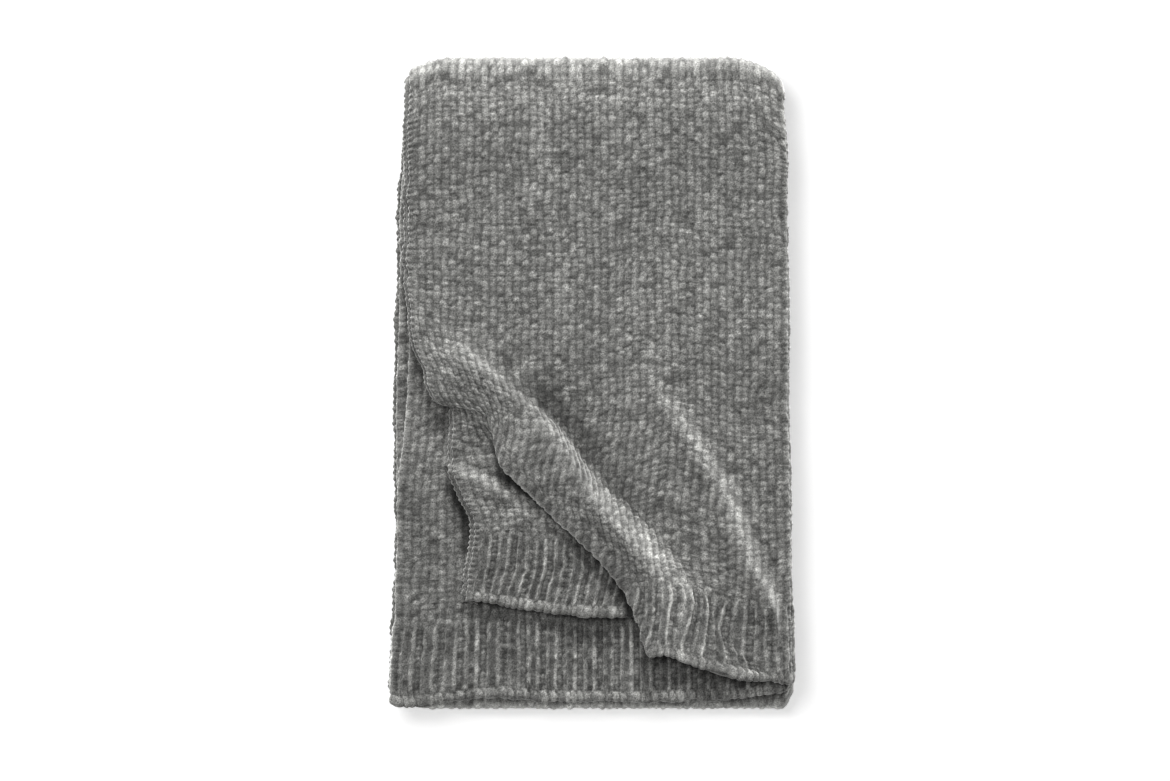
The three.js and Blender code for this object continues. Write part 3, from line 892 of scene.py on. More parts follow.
@dataclass
class Knit:
    """The knitted face: columns of soft stitches, ribs at the hem and bound-off edges."""

    wale: float = 6.4
    course: float = 4.4
    column_wander: Waver = Waver(0.12, 23, 47)
    row_wander: Waver = Waver(0.3, 31, 37)
    stitch: Blob = Blob(0.42, 0.56)
    stitch_height: float = 1.6
    stitch_lean: float = 0.30
    lean_middle: float = 0.25
    stray: float = 0.08
    uneven_height: float = 0.2
    yarn_edge: float = 1.4
    loop_edge: float = 1.3
    loop_length: float = 1.5
    least_weight: float = 0.02
    # painted shade in the gaps between stitches, painted highlight on the yarn's top
    painted_gap_shade: float = 0.46
    full_tone: float = 1.28
    unevenness: float = 0.26
    face_level: float = 1.1
    fuzz_tone: float = 0.17
    fuzz_lift: float = 0.20
    broad_mottle: Waver = Waver(0.05, 26, 34)
    column_mottle: Waver = Waver(0.08, 5.2, 24, 40)
    rib_pitch: float = 15.25
    rib_height: float = 64.0
    rib_start: Span = Span(-6, 2)
    rib_wander: Waver = Waver(2.0, 9.0, row=3.5)
    rib_sway: Waver = Waver(0.6, 15, 16)
    rib_quiver: Waver = Waver(0.3, 4, 4.4)
    rib_depth: float = 2.9
    rib_unevenness: float = 0.30
    # painted highlight on the ribs near the roll's crest
    highlit_ribs: Hill = Hill(228, 42)
    highlight_share: float = 0.6
    leg_place: float = 3.4
    leg_width: float = 1.05
    leg_share: float = 0.58
    # painted highlight on the rib legs, one side lighter than the other
    leg_highlight: float = 2.0
    leg_strength: float = 0.33
    leg_sides: float = 0.12
    leg_waver: Waver = Waver(0.13, 7, 8)
    least_leg: float = 0.06
    leg_slant: float = 0.2
    tick_relief: float = 0.15
    tick_tone: float = 0.3
    band_slope: float = 2.2
    # painted shade in the grooves between ribs, lighter on the bands and purl knots
    band_tone: float = 0.36
    groove_shade: float = 0.24
    purl_width: float = 4.2
    purl_shift: float = 0.4
    purl: Blob = Blob(0.48, 0.5)
    purl_height: float = 0.9
    purl_tone: float = 0.62
    chain_link: float = 6.6
    chain_height: float = 7.0
    chain_end: Span = Span(-1.5, 1.0)
    chain_round: float = 0.6
    link_wander: Waver = Waver(0.32, 10, row=2)
    link_bend: float = 0.22
    link_slant: float = 0.20
    link_height: float = 1.8
    link_uneven_height: float = 0.35
    # painted highlight on the crowns of the chain's links
    link_highlight: float = 0.85
    link_uneven_tone: float = 0.16
    chain_low: float = 0.6
    chain_tone: float = 0.50
    chain_fall: float = 0.14
    tuft_width: float = 2.9
    tuft_length: float = 2.6
    tuft: Blob = Blob(0.46, 0.5)
    tuft_share: float = 0.4
    tuft_unevenness: float = 0.14
    hem_link_reach: float = 1.1
    hem_waver: Waver = Waver(0.9, 12, row=8)
    scallop: float = 5.6
    knot_wander: Waver = Waver(0.12, 17, row=5)
    knot_size: float = 0.8
    knot_unevenness: float = 0.15
    knot_roundness: float = 0.8
    knot_reach: float = 1.4
    selvedge_waver: Waver = Waver(0.8, 14)
    rim_width: Span = Span(1.6, 3.4)
    rim_hill: Hill = Hill(0.8, 1.9)
    rim_height: float = 0.5
    rim_knots: float = 1.4
    # darker rim along the selvedge, with a painted highlight on each knot
    rim_tone: float = 0.70
    knot_highlight: float = 0.45
    seed: int = 41
    chain_row: int = 11
    knot_row: int = 3
    other_cell: tuple[int, int] = (91, 37)
    cells: tuple[int, int] = (331, 407)
    coarse_cells: tuple[int, int] = (89, 97)
    tone_limits: tuple[float, float] = (-1.9, 2.3)
    height_limits: tuple[float, float] = (-1.9, 1.9)
    shift_limits: tuple[float, float] = (-2.0, 2.0)

    def __post_init__(self) -> None:
        """Draws the chance values of every stitch once."""
        chance = np.random.default_rng(self.seed)
        self.tones = np.clip(chance.normal(0.0, 1.0, self.cells), *self.tone_limits)
        self.heights = np.clip(chance.normal(0.0, 1.0, self.cells), *self.height_limits)
        self.shifts = np.clip(chance.normal(0.0, 1.0, self.cells), *self.shift_limits)
        self.patches = chance.normal(0.0, 1.0, self.coarse_cells)

    @staticmethod
    def _pick(table: Array, i: Array, j: Array) -> Array:
        """Chance value of a numbered cell, from a table that repeats."""
        return table[i % table.shape[0], j % table.shape[1]]

    def _waver(self, waver: Waver, u: Array, v: Array) -> Array:
        """Chance values that run smoothly from one place of a coarse grid to the next.

        Args:
            waver: the size and the distances of the unevenness.
            u: place in its first direction.
            v: place in its second direction.

        Returns:
            The values around 0.
        """
        u, v = u / waver.first, v / waver.second + waver.row
        i, j = np.floor(u).astype(int), np.floor(v).astype(int)
        s, t = u - i, v - j
        s, t = s * s * (3 - 2 * s), t * t * (3 - 2 * t)
        corner = [self._pick(self.patches, i + di, j + dj) for di in (0, 1) for dj in (0, 1)]
        return waver.size * blend(blend(corner[0], corner[1], t), blend(corner[2], corner[3], t), s)

    def _blobs(self, u: Array, v: Array, size: Blob) -> tuple[Array, Array, Array]:
        """Soft blobs of yarn, one to each cell, each a little astray and of its own height.

        Args:
            u: place across, in cells.
            v: place along, in cells.
            size: size of a blob.

        Returns:
            How far the yarn stands up, about 0 to 1, how much of it shows there, and its chance tone.
        """
        first_i, first_j = np.floor(u).astype(int), np.floor(v).astype(int)
        height, cover = np.zeros(u.shape), np.zeros(u.shape)
        shade, weights = np.zeros(u.shape), np.full(u.shape, self.least_weight)
        for di in (-1, 0, 1):
            for dj in (-1, 0, 1):
                i, j = first_i + di, first_j + dj
                other_i, other_j = i + self.other_cell[0], j + self.other_cell[1]
                from_i = u - i - 0.5 - self.stray * self._pick(self.shifts, i, j)
                from_j = v - j - 0.5 - self.stray * self._pick(self.shifts, other_i, other_j)
                from_j = from_j + self.stitch_lean * (np.abs(from_i) - self.lean_middle)
                aside, ahead = (from_i / size.wide) ** 2, from_j / size.tall
                yarn = np.exp(-((aside + ahead**2) ** self.yarn_edge))
                loop = np.exp(-((aside + (ahead / self.loop_length) ** 2) ** self.loop_edge))
                height = np.maximum(height, loop * (1 + self.uneven_height * self._pick(self.heights, i, j)))
                cover = np.maximum(cover, yarn)
                shade = shade + yarn**2 * self._pick(self.tones, i, j)
                weights = weights + yarn**2
        return height, cover, shade / weights

    def rib_share(self, across: Array, along: Array) -> Array:
        """1 on the ribs, 0 on the plain knit."""
        wander = self._waver(self.rib_wander, across, along)
        return self.rib_start.fall(along + wander - self.rib_height)

    def _plain(self, across: Array, along: Array) -> tuple[Array, Array]:
        """Relief and tone of the plain knit.

        Args:
            across: flat place across the cloth.
            along: flat place along the cloth.

        Returns:
            The height of the yarn and its tone.
        """
        u = across / self.wale + self._waver(self.column_wander, along, across)
        v = along / self.course + self._waver(self.row_wander, across, along)
        height, yarn, chance = self._blobs(u, v, self.stitch)
        light = 1 + self.unevenness * chance
        # painted shade in the gaps between stitches, painted highlight on the yarn's top
        return self.stitch_height * height, (self.painted_gap_shade + (self.full_tone - self.painted_gap_shade) * yarn) * light

    def _ribbed(self, across: Array, along: Array) -> tuple[Array, Array]:
        """Relief and tone of the ribs: raised bands with painted highlights on their legs and painted shade
        in the grooves.

        Args:
            across: flat place across the cloth.
            along: flat place along the cloth.

        Returns:
            The height of the yarn and its tone.
        """
        sway = self._waver(self.rib_sway, across, along) + self._waver(self.rib_quiver, across, along)
        rib = (across / self.rib_pitch) % 1.0 * self.rib_pitch - self.rib_pitch / 2 + sway
        side = np.where(rib > 0, 1.0, -1.0)
        leg = Hill(self.leg_place, self.leg_width).at(np.abs(rib))
        band = Span(self.leg_place, self.leg_place + self.band_slope).fall(np.abs(rib))
        tick = 0.5 + 0.5 * np.cos(2 * math.pi * (along / self.course + self.leg_slant * side))
        purl_u, purl_v = across / self.purl_width, along / self.course + self.purl_shift
        _, knot, chance = self._blobs(purl_u, purl_v, self.purl)
        # painted highlight on the legs, stronger on one side, and painted shade in the grooves
        strength = self.leg_strength + self.leg_sides * side + self._waver(self.leg_waver, across, along)
        bright = (1 + self.highlight_share * self.highlit_ribs.at(across)) * np.maximum(strength, self.least_leg)
        leg_relief = self.leg_share * leg * (1 - self.tick_relief + self.tick_relief * tick)
        relief = self.rib_depth * ((1 - self.leg_share) * band + leg_relief)
        relief = relief + self.purl_height * (1 - band) * knot
        leg_highlight = self.leg_highlight * bright * leg * (1 - self.tick_tone / 2 + self.tick_tone * tick)
        tone = self.groove_shade + self.band_tone * band + leg_highlight + self.purl_tone * (1 - band) * knot
        return relief, tone * (1 + self.rib_unevenness * chance)

    def face(self, across: Array, along: Array, width: float) -> tuple[Array, Array]:
        """Relief and tone of the right side.

        Args:
            across: flat place across the cloth.
            along: flat place along the cloth.
            width: width of the cloth.

        Returns:
            The height of the yarn over the cloth's face, and its tone around 1.
        """
        relief, tone = self._plain(across, along)
        ribbed, rib_tone = self._ribbed(across, along)
        share = self.rib_share(across, along)
        relief, tone = blend(relief, ribbed, share), blend(tone, rib_tone, share)
        chain, chain_tone = self._chain(across, along)
        near = self.chain_end.fall(along - self.chain_height)
        relief, tone = blend(relief, chain, near), blend(tone, chain_tone, near)
        edge = np.minimum(across, width - across)
        rim = self.rim_width.fall(edge)
        knots = self.knots(along) * self.rim_hill.at(edge)
        # darker rim along the selvedge, with a painted highlight on each knot
        relief = blend(relief, self.rim_height + self.rim_knots * knots, rim)
        tone = blend(tone, self.rim_tone + self.knot_highlight * knots, rim)
        mottle = self._waver(self.broad_mottle, across, along)
        mottle = mottle + self._waver(self.column_mottle, across, along)
        fuzz = np.random.default_rng(across.size).normal(0.0, 1.0, (2, *across.shape))
        relief = relief - self.face_level + self.fuzz_lift * fuzz[0]
        return relief, tone * (1 + mottle) * (1 + self.fuzz_tone * fuzz[1])

    def _chain(self, across: Array, along: Array) -> tuple[Array, Array]:
        """Relief and tone of the bound-off chain along the hem.

        Args:
            across: flat place across the cloth.
            along: flat place along the cloth.

        Returns:
            The height of the yarn and its tone.
        """
        middle = self.chain_height / 2
        from_middle = (along - middle) / (middle + self.chain_round)
        over = np.sqrt(np.clip(1 - from_middle**2, 0, 1))
        place = across / self.chain_link + self._waver(self.link_wander, across, across)
        place = place + self.link_bend * from_middle**2 + self.link_slant * from_middle
        link = np.abs(np.cos(math.pi * place))
        row = np.full(place.shape, self.chain_row)
        chance = self._pick(self.tones, np.floor(place + 0.5).astype(int), row)
        _, tuft, shade = self._blobs(across / self.tuft_width, along / self.tuft_length, self.tuft)
        uneven = 1 + self.link_uneven_tone * chance + self.tuft_unevenness * shade
        # painted highlight on the crowns of the links and tufts; the chain is darker towards the body of the
        # cloth
        tone = (self.chain_tone + self.link_highlight * link * over + self.tuft_share * tuft) * uneven
        link_height = (self.link_height + self.link_uneven_height * chance) * link
        relief = over * (self.chain_low + link_height + self.tuft_share * tuft)
        return relief, tone * (1 - self.chain_fall * from_middle)

    def knots(self, along: Array) -> Array:
        """The knots of a selvedge.

        Args:
            along: flat place along the cloth.

        Returns:
            About 1 in the middle of each knot and 0 between them.
        """
        place = along / self.scallop + self._waver(self.knot_wander, along, along)
        row = np.full(place.shape, self.knot_row)
        chance = self._pick(self.heights, np.floor(place + 0.5).astype(int), row)
        knot = (0.5 + 0.5 * np.cos(2 * math.pi * place)) ** self.knot_roundness
        return (self.knot_size + self.knot_unevenness * chance) * knot

    def reach(self, along: Array) -> Array:
        """How far the knots of a selvedge stand out past its line."""
        return self.knot_reach * self.knots(along) + self._waver(self.selvedge_waver, along, along)

    def hem_reach(self, across: Array) -> Array:
        """How far the links of the hem's chain stand out past its line.

        Args:
            across: flat place across the cloth.

        Returns:
            The distances.
        """
        place = across / self.chain_link + self._waver(self.link_wander, across, across)
        links = self.hem_link_reach * np.abs(np.cos(math.pi * place))
        return links + self._waver(self.hem_waver, across, across)


def set_inputs(node: bpy.types.Node, values: dict[str, object]) -> None:
    """Sets the sockets of a node by their names."""
    for name, value in values.items():
        node.inputs[name].default_value = value


@dataclass(frozen=True)
class ChenilleFinish:
    """Velvety chenille yarn in a neutral grey."""

    colour: tuple[float, float, float] = (0.134, 0.134, 0.1285)
    roughness: float = 0.92
    gloss: float = 0.15
    sheen: float = 1.0
    sheen_roughness: float = 0.4
    sheen_tint: tuple[float, float, float, float] = (0.9, 0.9, 0.88, 1.0)
    # painted sheen: the base colour is lifted where the surface tilts away from the view
    slope_blend: float = 0.5
    slope: Span = Span(0.04, 0.7)
    sheen_lift: Span = Span(1.0, 2.2)
    fuzz_scale: float = 900.0
    fuzz_detail: float = 3.0
    fuzz: Span = Span(0.3, 0.7)
    fuzz_tones: Span = Span(0.4, 1.6)
    fuzz_height: float = 0.0005
    fuzz_strength: float = 0.6

    @staticmethod
    def _mapped(
        tree: bpy.types.NodeTree, value: bpy.types.NodeSocket, given: Span, wanted: Span
    ) -> bpy.types.NodeSocket:
        """Maps a value from one span to another.

        Args:
            tree: the material's nodes.
            value: the value.
            given: the span that it comes in.
            wanted: the span that it is mapped to.

        Returns:
            The mapped value.
        """
        node = tree.nodes.new("ShaderNodeMapRange")
        set_inputs(
            node,
            {"From Min": given.start, "From Max": given.end, "To Min": wanted.start, "To Max": wanted.end},
        )
        tree.links.new(value, node.inputs["Value"])
        return node.outputs["Result"]

    @staticmethod
    def _product(
        tree: bpy.types.NodeTree, first: bpy.types.NodeSocket, second: bpy.types.NodeSocket
    ) -> bpy.types.NodeSocket:
        """Multiplies two values.

        Args:
            tree: the material's nodes.
            first: one value.
            second: the other value.

        Returns:
            Their product.
        """
        node = tree.nodes.new("ShaderNodeMath")
        node.operation = "MULTIPLY"
        tree.links.new(first, node.inputs[0])
        tree.links.new(second, node.inputs[1])
        return node.outputs["Value"]

    def make(self) -> bpy.types.Material:
        """Makes the material.

        Returns:
            The chenille material.
        """
        material = bpy.data.materials.new("grey_chenille")
        material.use_nodes = True
        tree = material.node_tree
        shader = tree.nodes["Principled BSDF"]
        set_inputs(
            shader,
            {
                "Roughness": self.roughness,
                "Sheen Weight": self.sheen,
                "Sheen Roughness": self.sheen_roughness,
                "Sheen Tint": self.sheen_tint,
                "Specular IOR Level": self.gloss,
            },
        )
        # the tone attribute carries the yarn's chance tone together with painted light and shade
        tone = tree.nodes.new("ShaderNodeAttribute")
        tone.attribute_name = "tone"
        place = tree.nodes.new("ShaderNodeTexCoord")
        fuzz = tree.nodes.new("ShaderNodeTexNoise")
        set_inputs(fuzz, {"Scale": self.fuzz_scale, "Detail": self.fuzz_detail})
        tree.links.new(place.outputs["Object"], fuzz.inputs["Vector"])
        pile = self._mapped(tree, fuzz.outputs["Fac"], self.fuzz, self.fuzz_tones)
        # painted sheen: the base colour is lifted where the surface tilts away from the view
        facing = tree.nodes.new("ShaderNodeLayerWeight")
        set_inputs(facing, {"Blend": self.slope_blend})
        painted_sheen = self._mapped(tree, facing.outputs["Facing"], self.slope, self.sheen_lift)
        strength = self._product(tree, self._product(tree, tone.outputs["Fac"], pile), painted_sheen)
        tint = tree.nodes.new("ShaderNodeVectorMath")
        tint.operation = "SCALE"
        tint.inputs[0].default_value = self.colour
        tree.links.new(strength, tint.inputs["Scale"])
        tree.links.new(tint.outputs["Vector"], shader.inputs["Base Color"])
        bristle = tree.nodes.new("ShaderNodeBump")
        set_inputs(bristle, {"Strength": self.fuzz_strength, "Distance": self.fuzz_height})
        tree.links.new(fuzz.outputs["Fac"], bristle.inputs["Height"])
        tree.links.new(bristle.outputs["Normal"], shader.inputs["Normal"])
        return material


def grid_quads(index: Array) -> Array:
    """Corner numbers of the faces of a grid, from the numbers of its points."""
    corners = (index[:-1, :-1], index[:-1, 1:], index[1:, 1:], index[1:, :-1])
    return np.stack(corners, axis=-1).reshape(-1, 4)


def grid_object(
    name: str, blocks: list[tuple[Array, Array]], material: bpy.types.Material, slot: str = "chenille"
) -> bpy.types.Object:
    """Makes one mesh object out of rectangular blocks of points.

    Args:
        name: name of the piece.
        blocks: for each block its points, rows by columns by three, and its tones, rows by columns.
        material: the finish.
        slot: passed on to mesh_object, which does not use it.

    Returns:
        The object, riding on the frame.
    """
    points, tones, quads, base = [], [], [], 0
    for block, tone in blocks:
        quads.append(grid_quads(base + np.arange(tone.size).reshape(tone.shape)))
        points.append(block.reshape(-1, 3))
        tones.append(tone.ravel())
        base += tone.size
    joined = (np.concatenate(arrays) for arrays in (points, quads, tones))
    return mesh_object(name, *joined, material, slot)


def mesh_object(
    name: str, points: Array, quads: Array, tones: Array, material: bpy.types.Material, slot: str = "chenille"
) -> bpy.types.Object:
    """Makes one smooth mesh object.

    Args:
        name: name of the piece.
        points: its corners.
        quads: four corner numbers for each face.
        tones: tone of the yarn at each corner.
        material: the finish.
        slot: not used.

    Returns:
        The object, riding on the frame.
    """
    mesh = bpy.data.meshes.new(name)
    mesh.vertices.add(len(points))
    mesh.vertices.foreach_set("co", points.astype(np.float32).ravel())
    mesh.loops.add(quads.size)
    mesh.loops.foreach_set("vertex_index", quads.astype(np.int32).ravel())
    mesh.polygons.add(len(quads))
    mesh.polygons.foreach_set("loop_start", np.arange(0, quads.size, 4, dtype=np.int32))
    mesh.update(calc_edges=True)
    mesh.validate()
    mesh.polygons.foreach_set("use_smooth", np.ones(len(mesh.polygons), bool))
    tone = mesh.attributes.new("tone", "FLOAT", "POINT")
    tone.data.foreach_set("value", tones.astype(np.float32))
    mesh.materials.append(material)
    piece = bpy.data.objects.new(name, mesh)
    bpy.context.collection.objects.link(piece)
    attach(piece, "root")
    log.info("%s: %d faces", name, len(mesh.polygons))
    return piece


@dataclass(frozen=True)
class Patch:
    """A part of the right side that shows, with its steps and the edges that it wraps round."""

    across: tuple[float, float]
    along: tuple[float, float]
    step_across: float = 1.0667
    step_along: float = 1.1
    wraps_start: bool = False
    wraps_end: bool = False
    wraps_hem: bool = False
    wraps_far_hem: bool = False
    sunk: float = 0.0


@dataclass
class KnitFaces:
    """The knitted faces that show, laid on the folded cloth."""

    cloth: FoldedCloth
    knit: Knit
    tones: PaintedLightAndShade
    material: bpy.types.Material
    rim: tuple[tuple[float, float], ...] = (
        (4.5, -1), (2.2, -1), (0.4, -0.95), (-0.9, -0.6), (-1.4, 0.0), (-0.9, 0.6)
    )
    rim_start: float = 0.5
    edge_reach: Span = Span(0.0, 5.0)
    least_relief: float = 0.3
    wrong_side: float = 0.9
    # painted shade where the cloth wraps round to its wrong side at the edges
    wrapped_edge_shade: float = 0.78
    steps_in_rib: int = 20
    rib_step_along: float = 1.2
    side_step: float = 1.6
    near_fold_step: float = 1.47
    inner_steps: tuple[float, float] = (2.0, 2.2)
    under_steps: tuple[float, float] = (2.13, 2.2)
    under_sunk: float = 1.2
    past_ribs: float = 4.0
    lower_past_ribs: float = 12.0
    cuts: tuple[float, float] = (222.0, 380.0)
    fold_share: float = 0.75
    lap: float = 4.0
    side_lap: float = 6.0
    inner_lap: float = 3.0
    side_start: float = 8.0
    near_fold_lap: float = 24.0
    lower_corner: tuple[float, float] = (110.0, 275.0)
    selvedge_width: float = 12.0

    def _line(
        self, span: tuple[float, float], step: float, start: bool, end: bool, total: float
    ) -> tuple[Array, Array]:
        """Places along one direction of a patch, and the side of the cloth they lie on.

        Args:
            span: first and last place.
            step: wanted distance between places.
            start: whether the patch wraps round the edge at 0.
            end: whether it wraps round the edge at the total.
            total: size of the cloth in this direction.

        Returns:
            The places, and 1 for the right side down to -1 for the wrong side.
        """
        low = self.rim_start if start else span[0]
        high = total - self.rim_start if end else span[1]
        count = max(1, round((high - low) / step))
        places, sides = np.linspace(low, high, count + 1), np.ones(count + 1)
        rim_places, rim_sides = np.transpose(self.rim)
        if start:
            places = np.concatenate([rim_places, places])
            sides = np.concatenate([rim_sides, sides])
        if end:
            places = np.concatenate([places, total - rim_places[::-1]])
            sides = np.concatenate([sides, rim_sides[::-1]])
        return places, sides

    def block(self, patch: Patch) -> tuple[Array, Array]:
        """Points and tones of one patch.

        Args:
            patch: the patch.

        Returns:
            Its points in metres and its tones.
        """
        cloth, knit = self.cloth, self.knit
        u, side_u = self._line(
            patch.across, patch.step_across, patch.wraps_start, patch.wraps_end, cloth.width
        )
        v, side_v = self._line(
            patch.along, patch.step_along, patch.wraps_hem, patch.wraps_far_hem, cloth.length
        )
        across, along = np.meshgrid(u, v)
        side = np.minimum(*np.meshgrid(side_u, side_v))
        edge_u = np.clip(across, 0, cloth.width)
        edge_v = np.clip(along, 0, cloth.length)
        relief, tone = knit.face(edge_u, edge_v, cloth.width)
        # painted light and shade laid over the yarn's tone
        tone = tone * self.tones.at(cloth, edge_u, edge_v)
        outwards = self.edge_reach.fall(cloth.width - across) - self.edge_reach.fall(across)
        hem_reach = knit.hem_reach(edge_u) * self.edge_reach.fall(along)
        across, along = across + knit.reach(along) * outwards, along - hem_reach
        lift = side * (cloth.thickness / 2 + (relief - patch.sunk) * np.clip(side, self.least_relief, 1.0))
        # painted shade where the cloth wraps round to its wrong side at the edges
        tone = tone * np.where(side < self.wrong_side, self.wrapped_edge_shade, 1.0)
        return cloth.points(across, along, lift), tone

    def make(self, name: str, *patches: Patch) -> bpy.types.Object:
        """Makes one piece out of patches."""
        return grid_object(name, [self.block(patch) for patch in patches], self.material)

    def build(self) -> list[bpy.types.Object]:
        """Makes all the faces that show.

        Returns:
            The pieces.
        """
        cloth = self.cloth
        outer, fourth, third, fold_in, inner = (
            cloth.outer_fold, cloth.fourth, cloth.third, cloth.left_fold, cloth.inner_fold
        )
        rib_steps = (self.knit.rib_pitch / self.steps_in_rib, self.rib_step_along)
        top = (0, outer.start + outer.length * self.fold_share)
        ribs_end = self.knit.rib_height + self.past_ribs
        lower_end = self.knit.rib_height + self.lower_past_ribs
        far_end = cloth.far_fold.end + self.lap
        side = (outer.start + self.side_start, fourth.start + self.side_lap)
        under_start = cloth.near_fold.end + self.side_lap
        corner_width, corner_end = self.lower_corner
        return [
            self.make("top_ribs", Patch(top, (0, ribs_end), *rib_steps, wraps_start=True, wraps_hem=True)),
            self.make("top_face_near", Patch(top, (ribs_end, self.cuts[0]), wraps_start=True)),
            self.make("top_face_middle", Patch(top, self.cuts, wraps_start=True)),
            self.make("top_face_far", Patch(top, (self.cuts[1], far_end), wraps_start=True)),
            self.make(
                "lower_ribs",
                Patch((fold_in.start, third.end + self.lap), (0, lower_end), *rib_steps, wraps_hem=True),
                Patch((fold_in.start, third.start + corner_width), (lower_end, corner_end)),
            ),
            self.make(
                "side_folds",
                Patch((outer.start - self.side_lap, side[1]), (far_end, cloth.length), self.side_step),
                Patch(side, (0, far_end), self.side_step, wraps_hem=True),
                Patch(
                    (fold_in.start - self.side_lap, fold_in.end + self.lap),
                    (0, cloth.length),
                    self.side_step,
                    wraps_hem=True,
                ),
                Patch(
                    (inner.start - self.inner_lap, inner.end + self.inner_lap),
                    (0, cloth.length),
                    *self.inner_steps,
                ),
            ),
            self.make(
                "selvedges",
                Patch(
                    (0, self.selvedge_width),
                    (far_end, cloth.length),
                    self.side_step,
                    wraps_start=True,
                    wraps_far_hem=True,
                ),
                Patch(
                    (cloth.width - self.selvedge_width, cloth.width),
                    (0, cloth.length),
                    self.side_step,
                    wraps_end=True,
                    wraps_hem=True,
                ),
            ),
            self.make(
                "near_fold_face",
                Patch(
                    (fourth.start, fourth.end),
                    (cloth.near_fold.start - self.near_fold_lap, under_start),
                    self.side_step,
                    self.near_fold_step,
                ),
            ),
            self.make(
                "underside",
                Patch(
                    (fourth.start, fourth.end),
                    (under_start, cloth.length),
                    *self.under_steps,
                    wraps_far_hem=True,
                    sunk=self.under_sunk,
                ),
            ),
        ]


@dataclass
class ClothBody:
    """The cloth itself, closed round its edges and carried through all its layers."""

    cloth: FoldedCloth
    material: bpy.types.Material
    right_lift: float = 0.55
    wrong_lift: float = -1.7
    tone: float = 0.8
    step: float = 3.6
    outer_fold_step: float = 2.6
    inner_fold_step: float = 1.2
    stack_fold_step: float = 2.4
    hidden_step_across: float = 20.0
    hidden_step_along: float = 26.0
    fine_end: float = 372.0

    @staticmethod
    def _places(*spans: tuple[float, float, float]) -> Array:
        """Places over several spans, each given as its start, end and step."""
        lines = [np.linspace(a, b, max(1, round((b - a) / step)) + 1) for a, b, step in spans]
        return np.unique(np.round(np.concatenate(lines), 4))

    def build(self) -> bpy.types.Object:
        """Makes the closed cloth.

        Returns:
            The piece that stands for the solid.
        """
        cloth = self.cloth
        u = self._places(
            (0, cloth.top.end, self.step),
            (cloth.outer_fold.start, cloth.outer_fold.end, self.outer_fold_step),
            (cloth.fourth.start, cloth.fourth.end, self.hidden_step_across),
            (cloth.left_fold.start, cloth.left_fold.end, self.inner_fold_step),
            (cloth.third.start, cloth.third.end, self.hidden_step_across),
            (cloth.inner_fold.start, cloth.inner_fold.end, self.inner_fold_step),
            (cloth.second.start, cloth.width, self.step),
        )
        v = self._places(
            (0, self.fine_end, self.step),
            (self.fine_end, cloth.upper.end, self.hidden_step_along),
            (cloth.far_fold.start, cloth.far_fold.end, self.stack_fold_step),
            (cloth.middle.start, cloth.middle.end, self.hidden_step_along),
            (cloth.near_fold.start, cloth.near_fold.end, self.stack_fold_step),
            (cloth.lower.start, cloth.length, self.hidden_step_along),
        )
        across, along = np.meshgrid(u, v)
        right = cloth.points(across, along, np.full(across.shape, self.right_lift))
        wrong = cloth.points(across, along, np.full(across.shape, self.wrong_lift))
        count = across.size
        index = np.arange(count).reshape(across.shape)
        face = grid_quads(index)
        back = face[:, [0, 3, 2, 1]] + count
        ring = np.concatenate([index[0, :], index[1:, -1], index[-1, -2::-1], index[-2:0:-1, 0]])
        following = np.roll(ring, -1)
        rim = np.stack((following, ring, ring + count, following + count), axis=-1)
        points = np.concatenate([right.reshape(-1, 3), wrong.reshape(-1, 3)])
        quads = np.concatenate([face, back, rim])
        body = mesh_object("cloth_body", points, quads, np.full(len(points), self.tone), self.material)
        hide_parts("bedspread")
        return body


@dataclass(frozen=True)
class SoftLight:
    """A square soft light that faces the pile."""

    name: str
    place: tuple[float, float, float]
    size: float
    power: float
    target: tuple[float, float, float] = (0.0, 0.0, 0.03)

    def hang(self) -> bpy.types.Object:
        """Hangs the light.

        Returns:
            The light.
        """
        data = bpy.data.lights.new(self.name, "AREA")
        data.shape = "SQUARE"
        data.size = self.size
        data.energy = self.power
        lamp = bpy.data.objects.new(self.name, data)
        lamp.location = self.place
        ray = Vector(self.target) - Vector(self.place)
        lamp.rotation_euler = ray.to_track_quat("-Z", "Y").to_euler()
        bpy.context.collection.objects.link(lamp)
        return lamp


@dataclass(frozen=True)
class FloorPaint:
    """Matt white paint with a faint glow, so that the floor stays as white as paper."""

    white: tuple[float, float, float, float] = (0.95, 0.95, 0.95, 1.0)
    roughness: float = 0.9
    gloss: float = 0.1
    glow: float = 0.52

    def make(self) -> bpy.types.Material:
        """Makes the material.

        Returns:
            The paint.
        """
        paint = bpy.data.materials.new("white_floor")
        paint.use_nodes = True
        set_inputs(
            paint.node_tree.nodes["Principled BSDF"],
            {
                "Base Color": self.white,
                "Roughness": self.roughness,
                "Specular IOR Level": self.gloss,
                "Emission Color": (1, 1, 1, 1),
                "Emission Strength": self.glow,
            },
        )
        return paint


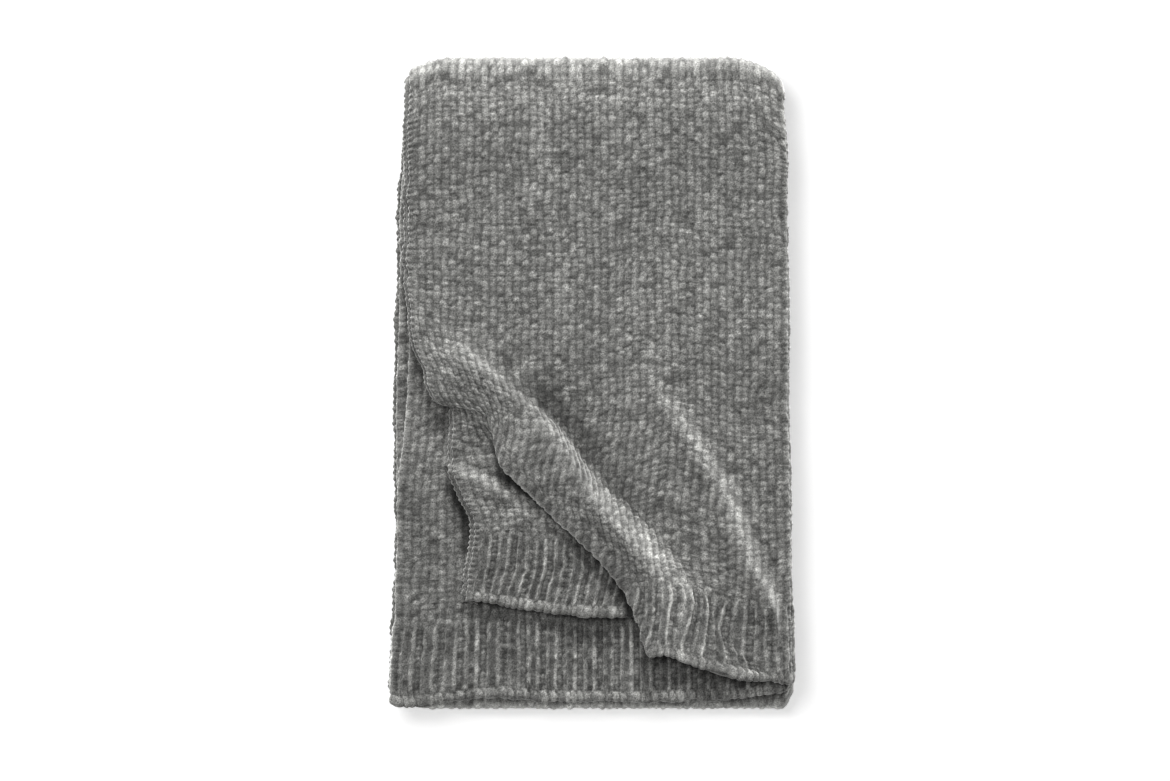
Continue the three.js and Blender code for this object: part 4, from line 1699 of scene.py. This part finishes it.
@dataclass
class Studio:
    """White floor, soft light from the far left and the far side, and a camera straight above."""

    view_width: float = 0.9594
    camera_height: float = 4.0
    sensor_width: float = 36.0
    middle: tuple[float, float] = (-0.0055, -0.0054)
    floor_reach: float = 6.0
    sky_strength: float = 0.22
    key_light: SoftLight = SoftLight("key_light", (-0.9, 0.9, 3.0), 1.3, 50)
    far_light: SoftLight = SoftLight("far_light", (0.0, 2.5, 1.4), 1.0, 135)

    def floor(self) -> bpy.types.Object:
        """Lays the white floor.

        Returns:
            The floor.
        """
        mesh = bpy.data.meshes.new("floor")
        reach = self.floor_reach
        corners = [(-reach, -reach, 0), (reach, -reach, 0), (reach, reach, 0), (-reach, reach, 0)]
        mesh.from_pydata(corners, [], [(0, 1, 2, 3)])
        mesh.materials.append(FloorPaint().make())
        floor = bpy.data.objects.new("floor", mesh)
        bpy.context.collection.objects.link(floor)
        return floor

    def lights(self, floor: bpy.types.Object) -> None:
        """Hangs the two lights and keeps the far one off the floor.

        Args:
            floor: the floor.
        """
        self.key_light.hang()
        far_light = self.far_light.hang()
        unlit = bpy.data.collections.new("not_lit_by_the_far_light")
        unlit.objects.link(floor)
        far_light.light_linking.receiver_collection = unlit
        unlit.collection_objects[0].light_linking.link_state = "EXCLUDE"

    def sky(self) -> None:
        """Lights the scene evenly from all round."""
        world = bpy.data.worlds.new("soft_sky")
        world.use_nodes = True
        set_inputs(
            world.node_tree.nodes["Background"], {"Color": (1, 1, 1, 1), "Strength": self.sky_strength}
        )
        bpy.context.scene.world = world

    def camera(self) -> None:
        """Places the camera of the photograph."""
        data = bpy.data.cameras.new("camera")
        data.sensor_width = self.sensor_width
        data.lens = self.sensor_width * self.camera_height / self.view_width
        camera = bpy.data.objects.new("camera", data)
        camera.location = (*self.middle, self.camera_height)
        bpy.context.collection.objects.link(camera)
        bpy.context.scene.camera = camera

    def build(self) -> None:
        """Makes the whole studio."""
        floor = self.floor()
        self.sky()
        self.lights(floor)
        self.camera()
        bpy.context.scene.view_settings.view_transform = "Standard"


def main() -> None:
    """Builds the bedspread and its studio."""
    logging.basicConfig(level=logging.INFO, format="%(name)s: %(message)s")
    cloth, knit = FoldedCloth(), Knit()
    material = ChenilleFinish().make()
    body = ClothBody(cloth, material).build()
    faces = KnitFaces(cloth, knit, PaintedLightAndShade(), material).build()
    Studio().build()
    log.info("sizes written")


if __name__ == "__main__":
    main()
